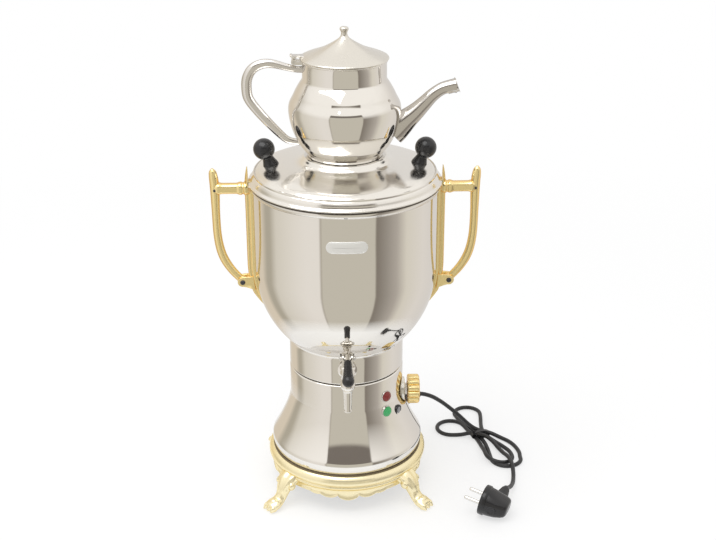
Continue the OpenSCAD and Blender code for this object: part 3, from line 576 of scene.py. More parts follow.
def turned(outline, sides, *steps):
    """A spun outline, put in its place."""
    return moved(spun(outline, sides), *steps)


print("a small bead has", len(spun(arc((0, 0), (1, 1), -90, 90, 12), 24)[0]), "corners")


# %% [markdown]
# A piece is one mesh in Blender. It may be built from several parts, and then it needs to be told which
# body it rides on, which finish it has, and which CAD nodes it stands for.

# %% From parts to pieces
def piece(name, *parts):
    """One object from parts in millimetres, with its faces looking outwards."""
    built = bmesh.new()
    for corners, faces in parts:
        made = [built.verts.new(tuple(c * MM for c in p)) for p in corners]
        for face in faces:
            built.faces.new([made[k] for k in face])
    bmesh.ops.recalc_face_normals(built, faces=built.faces)
    mesh = bpy.data.meshes.new(name)
    built.to_mesh(mesh)
    built.free()
    return placed(name, mesh)


def make(name, parts, body, slot, nodes=(), sharp=40, finish=None):
    """A finished piece: its mesh, shading and finish, its body, and the CAD nodes it replaces, hidden."""
    obj = piece(name, *parts)
    smoothed(obj, sharp)
    obj.data.materials.append(finish_of[finish or slot])
    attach(obj, body)
    if nodes:
        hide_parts(*nodes)
    print(name + ":", len(obj.data.vertices), "points")
    return obj


def tinted(obj, finish, chosen):
    """A second finish on the faces that a test of their middle point chooses."""
    obj.data.materials.append(finish_of[finish])
    for face in obj.data.polygons:
        if chosen(face.center):
            face.material_index = len(obj.data.materials) - 1


# %% [markdown]
# The boiler is one deep bowl spun from 1.2 mm sheet: a neck that sits on the bell, a bowl that is half
# an ellipse, a straight wall and a rim rolled outward to carry the lid. The faces at the top of the rim
# take a dull dark finish: painted shade, for the shadow in the gap under the lid's brim.

# %% The boiler
SHEET = 1.2
BOWL_R = 104.5
BOWL_TURN = 285.0
BOWL_DEEP = 118.0
NECK_R = 66.4
NECK_FOOT = 158.4
NECK_ROUND = 1.8
RIM_TOP = 382.3
RIM_SHADE_BAND = 1.5


def raised(line, by):
    """The same line of (radius, height), so much higher."""
    return [(radius, up + by) for radius, up in line]


neck_angle = -math.degrees(math.acos((NECK_R + 0.8) / BOWL_R))
neck_top = BOWL_TURN + BOWL_DEEP * math.sin(math.radians(neck_angle))
boiler_line = (
    [(0, NECK_FOOT), (NECK_R - NECK_ROUND, NECK_FOOT)]
    + arc((NECK_R - NECK_ROUND, NECK_FOOT + NECK_ROUND), (NECK_ROUND, NECK_ROUND), -75, 0, 6)
    + [(NECK_R, neck_top - 5), (NECK_R + 0.15, neck_top - 2.4)]
    + arc((0, BOWL_TURN), (BOWL_R, BOWL_DEEP), neck_angle, 0, 72)
    + raised([(BOWL_R, -60), (BOWL_R, -8)], RIM_TOP)
    + smooth_line(raised([(104.5, -7), (105.6, -5.6), (106.6, -3.6), (106.8, -1.6), (105.8, 0)], RIM_TOP), 4)
)
# The dark finish on the rim's top faces is painted shade for the shadow gap under the lid's brim.
metal("fold_painted_shade", (0.16, 0.14, 0.12), 0.4, 0.5, 20, 0.02)
boiler = make("boiler_wall", [spun(walled(boiler_line, SHEET))], "base", "mirror_steel", ["boiler_shell"])
tinted(boiler, "fold_painted_shade", lambda at: at.z > (RIM_TOP - RIM_SHADE_BAND) * MM and at.xy.length > 104 * MM)


# %% [markdown]
# The bell is the skirt between base and boiler. It hides the wiring, and its slow S-curve is where the
# table and the room show most. A thin dark brown ring at its foot is painted shade: the shadow line in the
# joint between bell and base.

# %% The bell
BELL_FOOT = 50.4
BELL_TOP_R = NECK_R + 0.2
FLARE_LOW = 68.5
FLARE_TOP = 122.0
FLARE_OUT = 24.2
FLARE_TALL = 59.0
FLARE_STEPS = 56


def bell_radius(up):
    """Radius of the bell's outer face at a height, down to where its flare ends."""
    t = max(0.0, (FLARE_TOP - max(up, FLARE_LOW)) / FLARE_TALL)
    return BELL_TOP_R + FLARE_OUT * t ** 1.5


hem = raised([(86.5, 0), (87.6, 2.2), (88.6, 5.4), (89.3, 9), (89.5, 12.4), (88.9, 15.4)], BELL_FOOT)
flare = [FLARE_LOW + (FLARE_TOP - FLARE_LOW) * k / FLARE_STEPS for k in range(1, FLARE_STEPS + 1)]
bell_line = (
    smooth_line(hem + [(bell_radius(FLARE_LOW), FLARE_LOW)], 5)
    + [(bell_radius(up), up) for up in flare]
    + [(BELL_TOP_R, 138), (BELL_TOP_R, NECK_FOOT - 3.4)]
    + arc((NECK_R - NECK_ROUND, NECK_FOOT - 3.4), (2, 2), 0, 90, 6)
    + [(54, NECK_FOOT - 1.4)]
)
make("bell_wall", [spun(walled(bell_line, SHEET))], "base", "mirror_steel", ["bell_shell"])
# A dark brown ring in the joint at the bell's foot: painted shade for the shadow line there.
foot_shade_line = [(85, 50.45), (88.3, 50.45), (88.9, 50.8), (88.9, 51.2), (88.3, 51.6), (87.6, 51.7), (85, 51)]
moulded("foot_painted_shade", (0.17, 0.125, 0.065), 0.4, 0.55, 1.0, 0.01)
make("bell_foot_shade_ring", [spun(foot_shade_line)], "base", "seal_rubber", finish="foot_painted_shade")


# %% [markdown]
# The lid is pressed from the same sheet: a narrow brim that covers the boiler's rim, a rounded edge that
# runs into a low dome, and a hollow collar in the middle that carries the teapot. It is handled and wiped
# more than the boiler, so its polish is a little softer. The faces under its brim take the same dark finish
# as the rim: painted shade for the gap between lid and boiler.

# %% The boiler's lid
REST = 413.4
BRIM_SHADE_TOP = 383.2

lid_line = smooth_line([
    (106.2, 382.8), (107.7, 383), (108.2, 383.9), (107.8, 384.8), (106.8, 385.5), (105.7, 386.4),
    (105, 387.8), (104.2, 390), (102.6, 392.8), (100, 395.5), (96.6, 397.8), (92, 399.6), (86, 401.1),
    (78, 402.5), (70, 403.7), (63, 404.6), (58, 405.2), (54.2, 405.9), (51, 407.2), (48.7, 409.3),
    (47.1, 411.6), (46.2, 412.8), (46, REST)], 6)
metal("lid_steel", (0.88, 0.86, 0.82), 0.12, 0.2, 60, 0.2)
lid_part = spun(walled(lid_line, SHEET))
lid = make("lid_shell", [lid_part], "lid", "mirror_steel", ["boiler_lid"], finish="lid_steel")
# The dark finish under the brim is painted shade for the gap between lid and boiler.
tinted(lid, "fold_painted_shade", lambda at: at.z < BRIM_SHADE_TOP * MM and at.xy.length > 105 * MM)


# %% [markdown]
# The teapot is a small copy of the same idea: a foot that sits in the collar, a round belly with one
# raised band at its shoulder, a straight neck and a rolled rim.

# %% The teapot's body
POT_R = 46
POT_RIM = 520.4
POT_SIDES = 160


def softened(line, passes):
    """The same line with each inner point drawn towards its neighbours, a few times over."""
    points = [Vector(p) for p in line]
    for _ in range(passes):
        points = [points[0]] + [
            (points[i - 1] + points[i] * 2 + points[i + 1]) / 4 for i in range(1, len(points) - 1)
        ] + [points[-1]]
    return [tuple(p) for p in points]


belly = smooth_line(raised([
    (42.4, 1.6), (43, 3.4), (46, 7.6), (50, 13), (54.2, 20.6), (57.5, 29), (59.8, 37), (61.3, 45), (61.8, 51),
    (61.4, 56.4), (60.2, 60.2), (58.4, 63.6), (56.7, 66.8), (55.6, 69.2), (54.4, 71.8), (50.6, 78.6),
    (47.4, 83.4), (46.2, 85.8), (POT_R, 88)], REST), 6)
pot_line = (
    raised([(0, 2.4), (36, 2.4), (39, 0.8), (40.4, 0.2), (41.8, 0.4)], REST)
    + softened(belly, 8)
    + raised([(POT_R, -8), (POT_R, -2.8)], POT_RIM)
    + arc((45.9, POT_RIM - 1.2), (1.2, 1.2), -80, 80, 8)
)
make("teapot_wall", [spun(walled(pot_line, 1.0), POT_SIDES)], "teapot", "mirror_steel", ["teapot_body"])


# %% [markdown]
# Its lid is a shallow cone, domed by the press, with a small turned finial soldered into the middle. A
# plain ring under it fits inside the pot's neck and keeps it from sliding.

# %% The teapot's lid
LID_EDGE = POT_RIM + 0.3

cone = raised([(47.6, 1.9), (42, 4.4), (34, 7.2), (24, 11.2), (14, 16.6), (6.4, 21.6)], LID_EDGE)
domed = softened(smooth_line(cone, 8), 6)
finial = smooth_line(raised([
    (5, 23), (3.9, 25), (3.4, 27), (3.6, 29), (4.6, 30.6), (4.9, 32), (4.4, 33.4), (2.6, 34.4),
    (0, 34.6)], LID_EDGE), 4)
hat_line = (
    raised([(48, 0), (48.4, 0.6), (48.2, 1.3)], LID_EDGE) + domed + finial
    + raised([(0, 20.2), (5, 20.4)], LID_EDGE)
    + [(radius - 0.6, up - 1.0) for radius, up in reversed(domed[:-4])] + [(46.6, LID_EDGE)]
)
skirt_line = raised([(43.4, -6), (44.4, -6), (44.4, 2.6), (43.4, 2.8)], POT_RIM)
metal("hat_steel", (0.80, 0.775, 0.72), 0.2, 0.28, 40, 0.1)
make("teapot_hat", [spun(hat_line, POT_SIDES)], "teapot_cover", "mirror_steel", finish="hat_steel")
make("teapot_hat_skirt", [spun(skirt_line, POT_SIDES)], "teapot_cover", "mirror_steel", ["teapot_lid"])


# %% [markdown]
# Cast and moulded pieces are not spun. A pattern maker sees a leg or a handle as a row of cross-sections:
# where it is thick, where it is thin and how round it is. Joining such sections with skin is a loft, and
# one helper for it serves the legs, the grips, the spout and the plug.

# %% Lofts
def lofted(rings, looped=False):
    """Skin through rings of equal counts of points, with an end face at each end unless looped."""
    count = len(rings[0])
    corners = [tuple(p) for ring in rings for p in ring]
    faces = []
    for i in range(len(rings) if looped else len(rings) - 1):
        j = (i + 1) % len(rings)
        for k in range(count):
            m = (k + 1) % count
            faces.append((i * count + k, i * count + m, j * count + m, j * count + k))
    if not looped:
        faces.append(tuple(range(count - 1, -1, -1)))
        faces.append(tuple(range(len(corners) - count, len(corners))))
    return corners, faces


def section(sides, power=2.0):
    """Points round a unit cross-section: power 2 is a circle, less has ridges, more is squarer."""
    return [tuple(math.copysign(abs(c) ** (2 / power), c) for c in p[:2]) for p in round_ring(sides, 1, 0)]


def tapered(rows, steps):
    """A path in the upright plane and its sizes, from rows of (x, height, half-width, half-depth)."""
    path = smooth_line([(x, 0, up) for x, up, wide, deep in rows], steps)
    return path, smooth_line([(wide, deep) for x, up, wide, deep in rows], steps)


def sweep_rings(path, sizes, shape):
    """Rings of a cross-section along a path in the upright plane: sizes are its half-widths."""
    rings = []
    for i, place in enumerate(path):
        step = Vector(path[min(i + 1, len(path) - 1)]) - Vector(path[max(i - 1, 0)])
        along = step.normalized()
        side = along.cross(Vector((0, 1, 0))).normalized()
        over = side.cross(along).normalized()
        wide, deep = sizes[i]
        rings.append([Vector(place) + over * (u * wide) + side * (v * deep) for u, v in shape])
    return rings


print("a square loft has", len(lofted([round_ring(4, 1, 0), round_ring(4, 1, 1)])[1]), "faces")


# %% [markdown]
# Three more forms come up again and again: a rounded lump, a flat plate with softened edges, and lumps
# that have run together in the mould. Lumps could be joined with booleans, but those leave hard seams. A
# voxel remesh melts whatever overlaps into one soft skin, as the mould does.

# %% Lumps and plates
CASTING_GRAIN = 0.8


def egg(centre, radii):
    """A rounded lump with three radii."""
    return turned(arc((0, 0), (1, 1), -90, 90, 12), 24, shift(*centre), Matrix.Diagonal((*radii, 1)))


def slab(outline, low, high, rounding):
    """A flat plate between two heights, with rounded edges, from an outline in the plane."""
    middle = Vector((sum(p[0] for p in outline), sum(p[1] for p in outline))) / len(outline)
    rings = []
    for inset, up in ((1, low), (0.3, low + rounding * 0.3), (0, low + rounding),
                      (0, high - rounding), (0.3, high - rounding * 0.3), (1, high)):
        ring = []
        for p in outline:
            out = Vector(p) - middle
            p = Vector(p) - out.normalized() * inset * rounding
            ring.append((p.x, p.y, up))
        rings.append(ring)
    return lofted(rings)


def mirrored_x(part):
    """The same part on the other side of the pot."""
    corners, faces = part
    return [(-x, y, z) for x, y, z in corners], [tuple(reversed(face)) for face in faces]


def cast_in_one(name, *parts):
    """Overlapping lumps melted into one skin, as a casting is."""
    lump = piece(name, *parts)
    melt = lump.modifiers.new("melt", "REMESH")
    melt.mode = "VOXEL"
    melt.voxel_size = CASTING_GRAIN * MM
    ease = lump.modifiers.new("ease", "SMOOTH")
    ease.factor = 0.5
    ease.iterations = 5
    skin = lump.evaluated_get(bpy.context.evaluated_depsgraph_get()).to_mesh()
    corners = [tuple(v.co / MM) for v in skin.vertices]
    faces = [tuple(face.vertices) for face in skin.polygons]
    bpy.data.objects.remove(lump)
    return corners, faces


print("a lump has", len(egg((0, 0, 0), (1, 1, 1))[0]), "corners")


# %% [markdown]
# The base is one casting, plated pale gold: a moulded ring that holds the bell, a scalloped apron below
# it and four legs with scrolled knees and clawed feet. The ring is turned. The apron is a thin wall whose
# lower edge follows lobes, so it is a loft that runs round the pot and back to its start.

# %% Ring and apron
APRON_R = 89.0
APRON_EDGE = 25.2
APRON_STEPS = 720
LOBE_DEEP = 6.7
# Each lobe: its middle, its half-width, its share of the depth and how full it is.
LOBES = ((0, 12.5, 1, 0.62), (22.5, 10, 0.62, 0.62), (38.5, 8, 0.3, 0.8))

ring_line = (
    [(80, 26), (84.5, 26.2), (86.5, 28.6), (89.2, 31.4)]
    + smooth_line([(90.6, 33), (92, 34.6), (92.5, 35.9), (92.1, 37.2), (91.5, 38)], 4)
    + smooth_line([(91.7, 38.5), (93.1, 39.3), (94.1, 40.9), (94.4, 43), (93.9, 45.4), (92.7, 47.8),
                   (91, 49.6), (89.6, 50.4)], 5)
    + [(84.6, 50.4), (84.6, 56), (81.5, 56), (81.5, 31), (76, 31), (76, 26)]
)


def apron_edge(along):
    """Height of the apron's lower edge, by distance from the middle of one of its four sides."""
    edge = APRON_EDGE
    for middle, half_wide, share, fullness in LOBES:
        off = (abs(along) - middle) / half_wide
        if abs(off) < 1:
            edge -= share * LOBE_DEEP * (1 - off ** 2) ** fullness
    return edge


apron_lip = [(88.8, 3.2), (89.5, 2.2), (89.9, 1.3), (89.6, 0.5), (88.8, 0), (87.2, 0), (86, 0.8), (85.4, 2.4)]
apron_rings = []
quarter = math.pi / 2
for step in range(APRON_STEPS):
    a = 2 * math.pi * step / APRON_STEPS
    away = (a + quarter / 2) % quarter - quarter / 2
    wall = [(89.4, 34), (88.9, 30.5), *raised(apron_lip, apron_edge(away * APRON_R)), (85.2, 34)]
    apron_rings.append([(r * math.cos(a), r * math.sin(a), z) for r, z in wall])
apron = lofted(apron_rings, looped=True)
print("apron:", len(apron_rings), "sections")


# %% [markdown]
# A leg starts as a wide knee under the ring, narrows to an ankle and spreads into a paw. Its knee has
# flutes that fade downwards. Rows of lumps for the scrolls, toes and claws are melted into the loft,
# which leaves the soft hollows between them that a sand casting has.

# %% Legs
PAD_TOP = 1.0
LEG_TURNS = (41, 139, -139, -41)
LEG_SIDES = 48
KNEE_FLUTES = 7
FLUTES_END = 22

leg_path, leg_sizes = tapered([
    (85, 37, 14.5, 7), (94, 31, 13, 8), (100, 23, 9.6, 7.4), (103.6, 15.4, 7.4, 6.4), (108.6, 9.6, 7.8, 6),
    (115.6, 6.8, 9.8, 6), (123, 5.6, 8.4, 4)], 5)
leg_rings = []
for i, ring in enumerate(sweep_rings(leg_path, leg_sizes, section(LEG_SIDES))):
    fade = max(0.0, 1 - i / FLUTES_END)
    middle = Vector(leg_path[i])
    fluted = []
    for k, p in enumerate(ring):
        flute = 1 + 0.1 * fade * math.cos(KNEE_FLUTES * 2 * math.pi * k / LEG_SIDES)
        fluted.append(middle + (p - middle) * flute)
    leg_rings.append(fluted)
lumps = [egg((115.5, 0, 11), (5.4, 5, 3.2))]
for across in (-6, 0, 6):
    lumps.append(egg((120.8, across, 5), (5.2, 3.2, 4.3)))
    lumps.append(egg((125, across, 3.2), (2.3, 1.6, 2)))
for across in (-11.5, 11.5):
    lumps.append(egg((97, across, 27.6), (4.8, 2.8, 4.8)))
    lumps.append(egg((101.4, across * 0.62, 21), (3.2, 2.2, 4.4)))
leg_corners, leg_faces = cast_in_one("leg_pattern", lofted(leg_rings), *lumps)
leg = [(x, y, max(z, PAD_TOP)) for x, y, z in leg_corners], leg_faces
legs = [moved(leg, turn_by(turn, "Z")) for turn in LEG_TURNS]
make("base_ring_and_legs", [spun(ring_line), apron, *legs], "base", "pale_gold", ["base_casting"], sharp=50)


# %% [markdown]
# Each side handle is two castings. A fluted strip is fixed to the bowl from rim to tip, and its long
# section has a wide foot, a cove and a round crown, so it shows two or three bright lines from any side.
# Above the rim it ends in a pointed leaf, and near its tip it carries two ears for the grip's screw.

# %% Brackets
TIP = 227.5
LEAF_FOOT = 372.0
LEAF_TOP = 399.4
LEAF_BACK = 108.9
LEAF_FRONT = 112.6
BAR_OUT = 8.0
BAR_RISES = 22
BAR_WIDENS = 26
TIP_HALF = 0.6
ARM_UP = 374.0
LUG = (118.5, 261.5)
LUG_R = (5.9, 5.9)
STRIP_STEPS = 96


def bowl_radius(up):
    """Radius of the boiler's outer face at a height."""
    if up > BOWL_TURN:
        return BOWL_R
    return BOWL_R * math.sqrt(1 - ((BOWL_TURN - up) / BOWL_DEEP) ** 2)


def gold_pair(what, form, parts, sharp):
    """A gold casting for the right side of the pot and its mirror image for the left."""
    make("right_" + what + form, parts, "base", "gold", ["right_" + what], sharp)
    make("left_" + what + form, [mirrored_x(part) for part in parts], "base", "gold", ["left_" + what], sharp)


strip_half = [(-0.1, 1), (0.24, 1), (0.33, 0.95), (0.4, 0.82), (0.47, 0.74), (0.55, 0.76), (0.66, 0.84),
              (0.78, 0.84), (0.88, 0.72), (0.95, 0.52), (0.975, 0.38), (0.96, 0.26), (0.975, 0.14), (1, 0)]
strip_shape = strip_half + [(d, -y) for d, y in reversed(strip_half[:-1])]
strip_rings = []
for step in range(STRIP_STEPS + 1):
    up = TIP + (LEAF_TOP - TIP) * step / STRIP_STEPS
    grown = min(1, (up - TIP + 1.5) / BAR_RISES)
    inner = bowl_radius(up) - 0.4
    outer = bowl_radius(up) + BAR_OUT * grown ** 0.8
    half = TIP_HALF + 5.6 * min(1, (up - TIP) / BAR_WIDENS) ** 0.8
    if up > LEAF_FOOT:
        leaf = (up - LEAF_FOOT) / (LEAF_TOP - LEAF_FOOT)
        inner = LEAF_BACK
        outer = LEAF_FRONT - 3 * leaf ** 2.4
        half = 6.2 * (1 - leaf ** 1.6) + 0.4
    strip_rings.append([(inner + (outer - inner) * d, half * y, up) for d, y in strip_shape])
boss_line = [(0, 108), (7, 108), (7.9, 110.6), (8.1, 112), (7.6, 113), (6.7, 113.6), (6.8, 114.6),
             (6.4, 115.4), (0, 115.5)]
boss = turned(boss_line, 48, shift(0, 0, ARM_UP), turn_by(90, "Y"))
ear_line = (
    [(106, 268.4), (112, 268.2), (116, 267.8)] + arc(LUG, LUG_R, 84, -100, 18)
    + [(114, 255), (110, 253.6), (104, 251.6)]
)
ears = [moved(slab(ear_line, low, low + 3.2, 0.7), turn_by(90, "X")) for low in (3.2, -6.4)]
gold_pair("bracket", "_strip", [lofted(strip_rings), boss, *ears], 55)


# %% [markdown]
# The grip is the part a hand holds: an upright with a rounded finial, sweeping in below to the screw, and
# a level arm that meets the bracket's boss. Its section is a circle pulled to four soft ridges, so light
# falls on it as a bright outer face and a deeper inner one.

# %% Grips
grip_path, grip_sizes = tapered([
    (*LUG, 3, 4.4), (123, 266, 3.4, 4.6), (131, 275.6, 4.4, 4.8), (138.4, 288.2, 4.8, 5),
    (142.8, 302, 4.8, 4.9), (145.2, 320, 4.7, 4.7), (145.8, 345, 4.7, 4.7), (145.8, 366, 5, 5.2),
    (146.2, 380, 5, 5.3), (146.9, 388, 4.6, 5), (147.6, 394, 3.4, 3.9), (148, 397.4, 1, 1.1)], 6)
upright = lofted(sweep_rings(grip_path, grip_sizes, section(40, 1.75)))
arm_places = [(115, 6.6), (116, 7.1), (117.6, 7.2), (119.4, 6.7), (120.6, 6.2), (122, 6), (130, 6), (137, 6),
              (139, 6.2), (140.4, 6.7), (142.4, 6.8), (146, 5)]
arm_path = [(x, 0, ARM_UP) for x, r in arm_places]
arm = lofted(sweep_rings(arm_path, [(r, r) for x, r in arm_places], section(40, 2.6)))
lug_disc = moved(slab(arc(LUG, LUG_R, 0, 345, 23), -3, 3, 0.6), turn_by(90, "X"))
gold_pair("grip", "_casting", [upright, arm, lug_disc], 60)


# %% [markdown]
# The screws that hold the grips have dark domed heads with a slot across. A second,
# smaller pin locks each arm into its upright.

# %% Handle screws
ARM_PIN_OUT = 145.8


def screw_head(radius, tall):
    """A domed head with a slot, its top looking up, from rings that dip along one line."""
    rings = []
    for fraction, lift in ((1, 0), (1, 0.45), (0.93, 0.7), (0.78, 0.88), (0.5, 0.98), (0.18, 1)):
        ring = []
        for x, y, up in round_ring(48, radius * fraction, tall * lift):
            dip = 0.4 * tall if abs(y) < radius * 0.17 and lift > 0.6 else 0
            ring.append((x, y, up - dip))
        rings.append(ring)
    return lofted(rings)


lying = turn_by(90, "X")
screw_parts = []
for side in (-1, 1):
    shaft_line = [(0, -6.5), (2.1, -6.5), (2.1, 6.6), (0, 6.6)]
    screw_parts.append(turned(shaft_line, 32, shift(side * LUG[0], 0, LUG[1]), lying))
    screw_parts.append(moved(screw_head(2.9, 1.7), shift(side * LUG[0], -6.4, LUG[1]), lying))
    screw_parts.append(moved(screw_head(1.7, 1), shift(side * ARM_PIN_OUT, -4.9, ARM_UP - 1), lying))
screw_slot = slot_of["handle_screws"]
make("handle_screw_heads", screw_parts, "base", screw_slot, ["handle_screws"], finish="dark_sheet")


# %% [markdown]
# The tap is turned brass, chromed: a shank through the wall with a flange against it, an upright body and
# a nozzle that tapers to a small lip. Plain cylinders would lose its beads and its lip, so every part of it
# is a turned outline, the shank's and the flange's lying down.

# %% The tap
TAP_UP = 180.0
TAP_OUT = 90.0
along_tap = shift(0, 0, TAP_UP) @ turn_by(90, "X")
at_spout = shift(0, -TAP_OUT, 0)

nozzle_line = (
    [(0, 150), (3.3, 149.6), (3.5, 138.6), (3.9, 138.1), (4.5, 138.2), (4.9, 138.9), (4.8, 139.8),
     (4.4, 140.6)]
    + smooth_line([(4.45, 142), (4.6, 150), (4.9, 158), (5.3, 164)], 4)
    + smooth_line([(5.8, 165.4), (7, 167.2), (7.9, 169.4), (8.3, 172), (8.1, 174.4)], 3)
    + [(7.7, 175.2), (7.7, 184.6), (8.2, 185.4), (8.6, 187), (8.2, 188.6), (7.8, 189.4), (7.8, 192), (0, 192)]
)
shank_line = [(0, 52), (5, 52), (5, 73), (5.6, 76), (6.6, 79), (6.8, 84), (0, 84)]
tap_parts = [turned(nozzle_line, 64, at_spout), turned(shank_line, 48, along_tap)]
make("tap_nozzle_and_shank", tap_parts, "base", "mirror_steel", ["tap_body"])
flange_line = [(5.1, 69), (10.4, 69), (11, 69.7), (10.8, 70.6), (9.6, 71.2), (8, 71.6), (7.2, 72.4),
               (6.6, 73.6), (5.1, 74)]
make("tap_wall_flange", [turned(flange_line, 64, along_tap)], "base", "mirror_steel", ["tap_flange"])


# %% [markdown]
# On top of the tap a fork holds the lever's pin between two cheeks. They are flat, so they are plates cut
# to an outline. The black grip is moulded round the lever's rod in the shape of a long drop. A drop is
# round, so it is turned, and then it is tipped to droop a little towards the hand.

# %% The tap's fork, pin and grip
PIVOT_UP = 205.0
DROOP = 20
at_pivot = shift(0, -TAP_OUT, PIVOT_UP)

cup_line = [(2.6, 192.1), (8.2, 192.1), (8.8, 192.8), (8.8, 194.6), (8.2, 195.6), (7, 196.1), (4.3, 196.1),
            (4.3, 193.4), (2.6, 193.4)]
cheek_line = (
    arc((-TAP_OUT, PIVOT_UP), (4.5, 4.5), -12, 192, 18)
    + [(-95, 198), (-95.4, 194), (-84.6, 194), (-85, 198)]
)
to_side = turn_by(90, "Z") @ turn_by(90, "X")
cheeks = [moved(slab(cheek_line, low, low + 2.8, 0.6), to_side) for low in (-6.4, 3.6)]
make("tap_fork", [turned(cup_line, 64, at_spout), *cheeks], "base", "mirror_steel", ["tap_bonnet"])
pin_parts = [turned([(0, -7), (1.4, -7), (1.4, 7), (0, 7)], 32, at_pivot, turn_by(90, "Y"))]
for out in (-7.8, 7.8):
    pin_parts.append(egg((out, -TAP_OUT, PIVOT_UP), (1.9, 2.5, 2.5)))
make("tap_pin_and_balls", pin_parts, "base", "satin_steel", ["tap_pin"])

on_lever = at_pivot @ turn_by(DROOP, "X") @ shift(0, -9, 4) @ turn_by(90, "X")
drop_line = (
    [(2.81, 12), (2.81, 0.4), (3.2, 0), (3.8, 0.3), (4.2, 1.2)]
    + smooth_line([(4.35, 2.4), (4.6, 7), (5, 14), (5.7, 21), (6.4, 26)], 5)
    + arc((0, 28.5), (6.7, 7), -10, 90, 16) + [(0, 12)]
)
make("tap_drop_grip", [turned(drop_line, 64, on_lever)], "tap_handle", "black_plastic", ["tap_grip"])


# %% [markdown]
# Two ball knobs lift the hot lid. Each is one turned piece of black plastic: a foot that spreads on the
# lid, a plain waist and a ball. A ball set on a cone would show a hard line where they meet, so one outline
# runs through all three. They lean outwards, away from the teapot's heat.

# %% Ball knobs
BALL_R = 12.0
KNOB_OUT = 82
KNOB_UP = 400
KNOB_LEAN = 21

knob_line = (
    [(0, -5), (8.8, -5), (9, -1), (9, 0.4)]
    + smooth_line([(8.9, 1.2), (8.6, 2.8), (7.9, 4.6), (7.2, 6.4), (6.6, 8.2), (6.2, 9.6), (6.4, 10.7)], 4)
    + arc((0, 21), (BALL_R, BALL_R), -57, 90, 34)
)
knobs = [
    turned(knob_line, 72, shift(side * KNOB_OUT, 0, KNOB_UP), turn_by(side * KNOB_LEAN, "Y"))
    for side in (-1, 1)
]
make("lid_ball_knobs", knobs, "lid", "black_plastic", ["lid_knobs"])


# %% [markdown]
# The thermostat's knob is a gold casting with twelve deep flutes, so that wet fingers can turn it. Its
# sections are circles pushed in twelve times round. A ring of short marks on the disc behind it shows
# how far it is turned.

# %% Thermostat knob and its disc
DIAL_UP = 117.0
DIAL_R = 17.5
FLUTES = 12
MARKS = 11
MARK_STEP = 27
FIRST_MARK = 45
on_dial = shift(BELL_TOP_R, 0, DIAL_UP) @ turn_by(90, "Y")


def fluted_ring(radius, depth, up):
    """A ring of points with rounded lobes between sharp flutes."""
    return round_ring(192, lambda a: radius - depth * (1 - abs(math.cos(FLUTES / 2 * a)) ** 0.55), up)


knob_rings = [fluted_ring(radius, depth, up) for radius, depth, up in (
    (9.6, 0, 8.2), (9.6, 0, 6), (15.4, 0.6, 6), (16.6, 1.8, 6.3), (17.3, 2.6, 7), (DIAL_R, 2.8, 8),
    (DIAL_R, 2.8, 17.6), (17.2, 2.6, 18.9), (16.4, 1.9, 19.8), (15.2, 0.8, 20.3), (13.6, 0, 20.4),
    (13, 0, 19.9), (12.6, 0, 19.2), (6, 0, 19.4), (5.2, 0, 19.8), (3, 0, 20), (0.6, 0, 20))]
pointer = slab([(12.2, -0.9), (12.2, 0.9), (7, 1.2), (7, -1.2)], 19, 20.1, 0.3)
dial_parts = [moved(lofted(knob_rings), on_dial), moved(pointer, on_dial, turn_by(180, "Z"))]
make("thermostat_fluted_knob", dial_parts, "dial", "gold", ["thermostat_knob"], sharp=50)
disc_line = [(5.2, -4), (14.4, -4), (14.8, 1.4), (14.5, 2.2), (13.9, 2.6), (13.4, 2.4), (13.2, 2.1),
             (9, 2.1), (5.2, 2.1)]
mark = slab([(10.4, -0.4), (12.9, -0.4), (12.9, 0.4), (10.4, 0.4)], 1.8, 2.5, 0.15)
marks = [moved(mark, on_dial, turn_by(step * MARK_STEP + FIRST_MARK, "Z")) for step in range(MARKS)]
disc_parts = [turned(disc_line, 96, on_dial), *marks]
make("thermostat_disc", disc_parts, "base", "dial_plate", ["thermostat_bezel"])


# %% [markdown]
# Two lamps and a reset button sit in the bell. A lamp's lens is a clear coloured dome pressed with
# facets, which scatter the little bulb behind it, so it is shaded flat. The reset button is nearly flush,
# so that nobody presses it by mistake.

# %% Lamps and reset button
LAMP_TURN = 42.5
LAMPS_UP = {"red": 134.0, "green": 114.5}
FACETS = 10
RESET_TURN = 60.0
RESET_UP = 107.6


def on_bell(turn, up):
    """A place on the bell's wall, its own up pointing straight out."""
    return turn_by(turn - 90, "Z") @ shift(bell_radius(up), 0, up) @ turn_by(90, "Y")


socket_line = [(4.2, -14), (5, -14), (5, -2), (7.1, -2), (7.1, 0.5), (6.9, 0.9), (6.5, 1), (5.8, 0.8),
               (4.2, 0.8)]
lens_places = ((6.3, 0.2), (6.4, 1), (5.9, 2.3), (4.8, 3.4), (3.2, 4.3), (1.5, 4.8), (0.3, 4.9))
half_facet = math.pi / FACETS
lens_dome = lofted([round_ring(FACETS, r, up, half_facet * (i % 2)) for i, (r, up) in enumerate(lens_places)])
lens_stem = [(0, -1), (4, -1), (4, 0.9), (0, 0.9)]
sockets = []
for colour, up in LAMPS_UP.items():
    at_lamp = on_bell(LAMP_TURN, up)
    sockets.append(turned(socket_line, 64, at_lamp))
    lens = [moved(lens_dome, at_lamp), turned(lens_stem, 32, at_lamp)]
    make(colour + "_lamp_lens", lens, "base", colour + "_lens", [colour + "_lamp"], sharp=8)
make("lamp_sockets", sockets, "base", "satin_steel", ["lamp_holders"])

